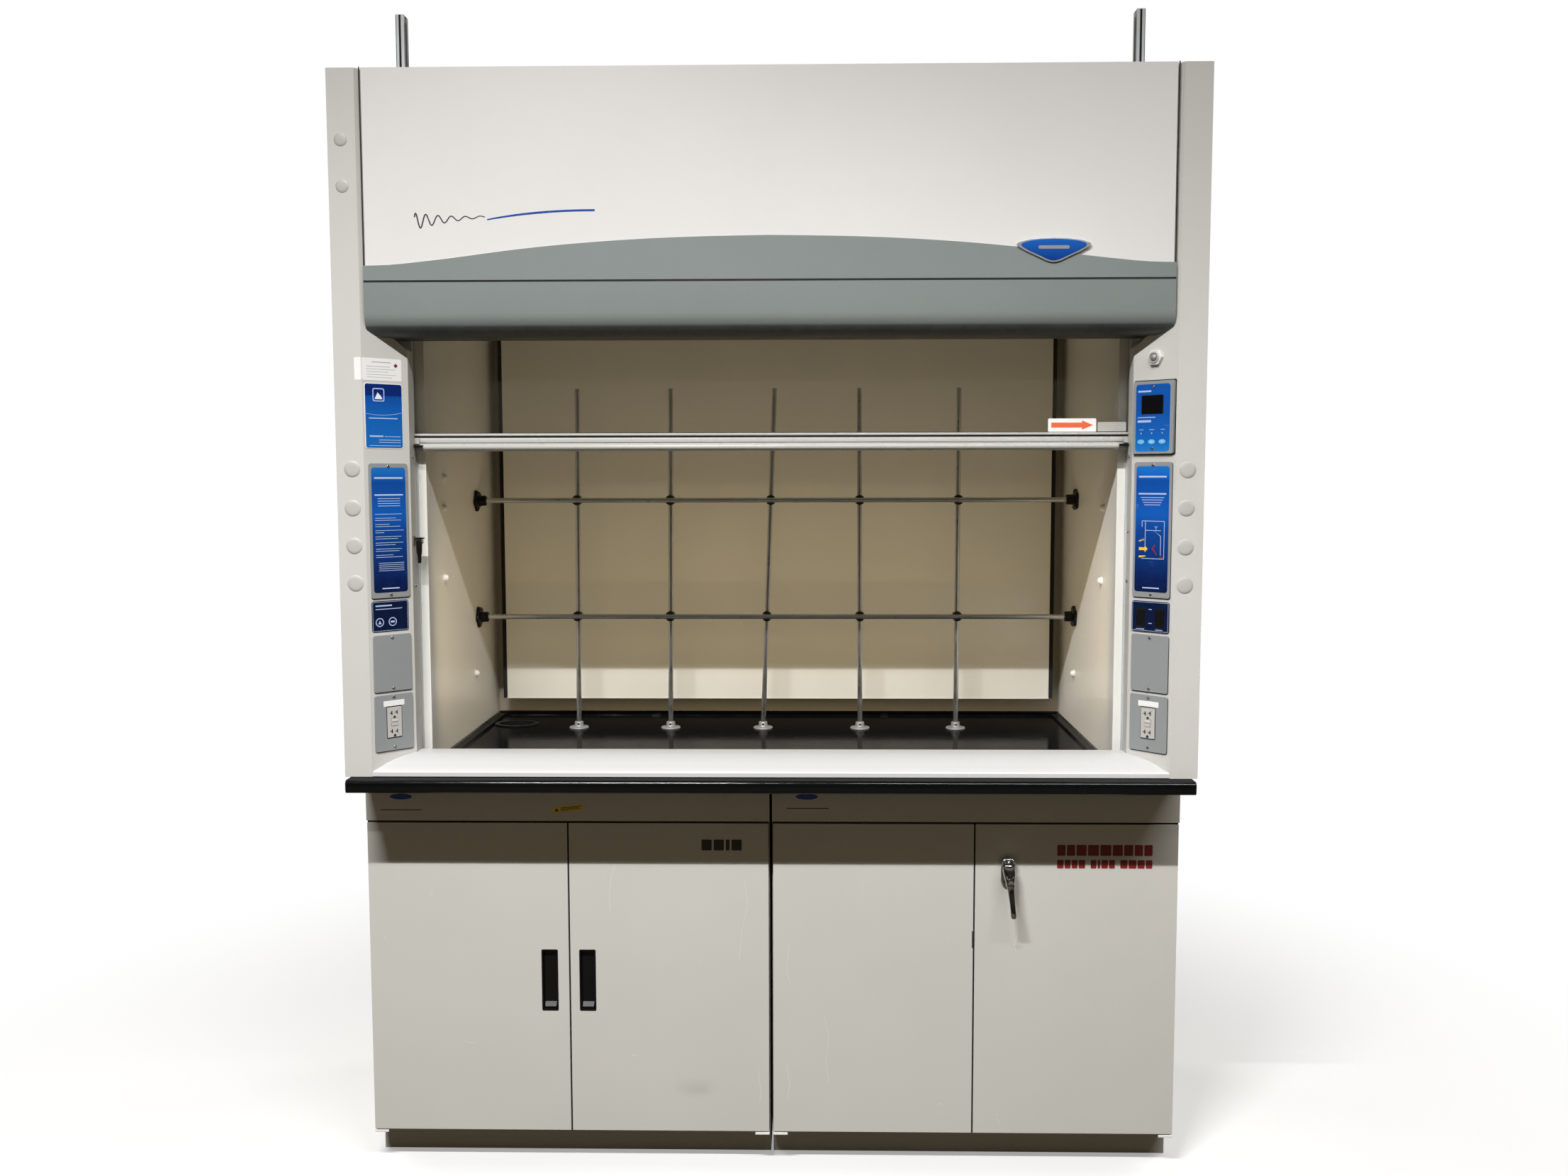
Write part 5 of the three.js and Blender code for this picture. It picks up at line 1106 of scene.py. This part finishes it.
# away from the object the floor fades into the pale backdrop
far = ft.nodes.new("ShaderNodeVectorMath")
far.operation = "LENGTH"
ft.links.new(ftc.outputs["Object"], far.inputs[0])
flp = ft.nodes.new("ShaderNodeLightPath")
ft.links.new(mix(ft, flp.outputs["Is Camera Ray"], (0.05, 0.04, 0.027), pale), fb.inputs["Base Color"])
fade = math_node(ft, "MULTIPLY", span(ft, far.outputs["Value"], 1.0, 2.6, 0.35, 1.0, True), flp.outputs["Is Camera Ray"])
fem = ft.nodes.new("ShaderNodeEmission")
fem.inputs["Color"].default_value = (1.0, 1.0, 1.0, 1)
fem.inputs["Strength"].default_value = 1.0
fmx = ft.nodes.new("ShaderNodeMixShader")
fout = [n for n in ft.nodes if n.type == "OUTPUT_MATERIAL"][0]
ft.links.new(fade, fmx.inputs[0])
ft.links.new(fb.outputs["BSDF"], fmx.inputs[1])
ft.links.new(fem.outputs[0], fmx.inputs[2])
ft.links.new(fmx.outputs[0], fout.inputs["Surface"])
floor.data.materials.append(fm)

world = bpy.data.worlds.new("studio")
SCENE.world = world
world.use_nodes = True
wt = world.node_tree
wt.nodes.clear()
wo = wt.nodes.new("ShaderNodeOutputWorld")
lp = wt.nodes.new("ShaderNodeLightPath")


def background(color, strength):
    n = wt.nodes.new("ShaderNodeBackground")
    if isinstance(color, tuple):
        n.inputs["Color"].default_value = (*color, 1)
    else:
        wt.links.new(color, n.inputs["Color"])
    n.inputs["Strength"].default_value = strength
    return n.outputs[0]


def mix_world(fac, a, b):
    n = wt.nodes.new("ShaderNodeMixShader")
    wt.links.new(fac, n.inputs[0])
    wt.links.new(a, n.inputs[1])
    wt.links.new(b, n.inputs[2])
    return n.outputs[0]


# the studio as polished surfaces see it: dim warm walls, a darker band low down, a soft bright ceiling
wtc = wt.nodes.new("ShaderNodeTexCoord")
wsep = wt.nodes.new("ShaderNodeSeparateXYZ")
wt.links.new(wtc.outputs["Generated"], wsep.inputs[0])
wr = wt.nodes.new("ShaderNodeValToRGB")
wt.links.new(span(wt, wsep.outputs["Z"], -1.0, 1.0, 0.0, 1.0), wr.inputs["Fac"])
stops = [(0.0, (0.05, 0.045, 0.04)), (0.44, (0.035, 0.03, 0.024)), (0.50, (0.014, 0.012, 0.010)), (0.60, (0.05, 0.043, 0.034)), (0.66, (0.30, 0.29, 0.27)), (0.70, (0.03, 0.026, 0.02)), (0.80, (0.02, 0.018, 0.015)), (0.84, (0.75, 0.74, 0.71)), (0.88, (0.10, 0.095, 0.085)), (1.0, (0.30, 0.29, 0.28))]
wr.color_ramp.elements[0].position, wr.color_ramp.elements[0].color = stops[0][0], (*stops[0][1], 1)
wr.color_ramp.elements[1].position, wr.color_ramp.elements[1].color = stops[-1][0], (*stops[-1][1], 1)
for pos, col in stops[1:-1]:
    wr.color_ramp.elements.new(pos).color = (*col, 1)
ambient = background(AMBIENT, AMBIENT_STRENGTH)
mirror = background(wr.outputs["Color"], 1.0)
backdrop = background((1.0, 1.0, 1.0), 1.0)
wt.links.new(mix_world(lp.outputs["Is Camera Ray"], mix_world(lp.outputs["Is Glossy Ray"], ambient, mirror), backdrop), wo.inputs[0])


def area(name, loc, target, size, size_y, power, color=(1, 1, 1), spread=180):
    ld = bpy.data.lights.new(name, "AREA")
    ld.shape = "RECTANGLE"
    ld.size, ld.size_y = size, size_y
    ld.energy = power
    ld.color = color
    ld.spread = math.radians(spread)
    o = bpy.data.objects.new(name, ld)
    SCENE.collection.objects.link(o)
    o.location = loc
    o.rotation_euler = (Vector(target) - Vector(loc)).to_track_quat("-Z", "Y").to_euler()
    return o


# two ceiling strips, the left one much the stronger
area("key_strip", P(-893, -2463, 3866), P(-893, -2463 - 420, 2866), 1.3, 0.07, 455, (0.935, 0.935, 0.935))
area("second_strip", P(1500, -2463, 3866), P(1500, -2463 - 420, 2866), 2.4, 0.30, 195, (0.935, 0.935, 0.935))
# the strong strip's narrow beam towards the right side of the chamber
beam = area("key_beam", P(-893, -2463, 3866), P(750, 170, 1240), 0.9, 0.07, 0.6, (0.935, 0.945, 0.975), 20)
beam.visible_camera = beam.visible_glossy = False
# weak lights behind the front plane, so the outer sides and the back read from other angles
for nm, sx in (("side_left", -1), ("side_right", 1)):
    w = area(nm, P(sx * 4300, 2300, 2700), P(sx * 700, 500, 1200), 2.6, 2.6, 120, (1.0, 0.97, 0.93))
    w.visible_camera = w.visible_glossy = False
fill = area("fill_front", P(0, -5200, 1500), P(0, 300, 1100), 5.0, 2.6, 8, (1.0, 0.80, 0.52))
fill.visible_glossy = False
# light already bounced about inside the chamber
bounce = area("chamber_bounce", P(0, 168, 1150), P(0, 740, 1180), 1.40, 0.40, 2.1, (1.0, 0.80, 0.50))
bounce.visible_camera = bounce.visible_glossy = False

cam_data = bpy.data.cameras.new("camera")
cam_data.sensor_fit = "HORIZONTAL"
cam_data.sensor_width = 36.0
cam_data.lens = 31.07
cam_data.clip_end = 200
cam_data.dof.use_dof = False
cam = bpy.data.objects.new("camera", cam_data)
SCENE.collection.objects.link(cam)
pitch, yaw, roll = 0.0815, -0.0186, 0.0017
fwd = Vector((math.sin(yaw) * math.cos(pitch), math.cos(yaw) * math.cos(pitch), -math.sin(pitch)))
right = Vector((math.cos(yaw), -math.sin(yaw), 0.0))
down = -right.cross(fwd)
r2 = (right * math.cos(roll) + down * math.sin(roll)).normalized()
up = r2.cross(fwd).normalized()
cam.matrix_world = Matrix(((r2.x, up.x, -fwd.x, 0), (r2.y, up.y, -fwd.y, 0), (r2.z, up.z, -fwd.z, 0), (0, 0, 0, 1)))
cam.location = P(86.3, -2859.2, 1518.4)
SCENE.camera = cam
SCENE.view_settings.view_transform = "Standard"
SCENE.view_settings.look = "None"

bpy.context.view_layer.update()
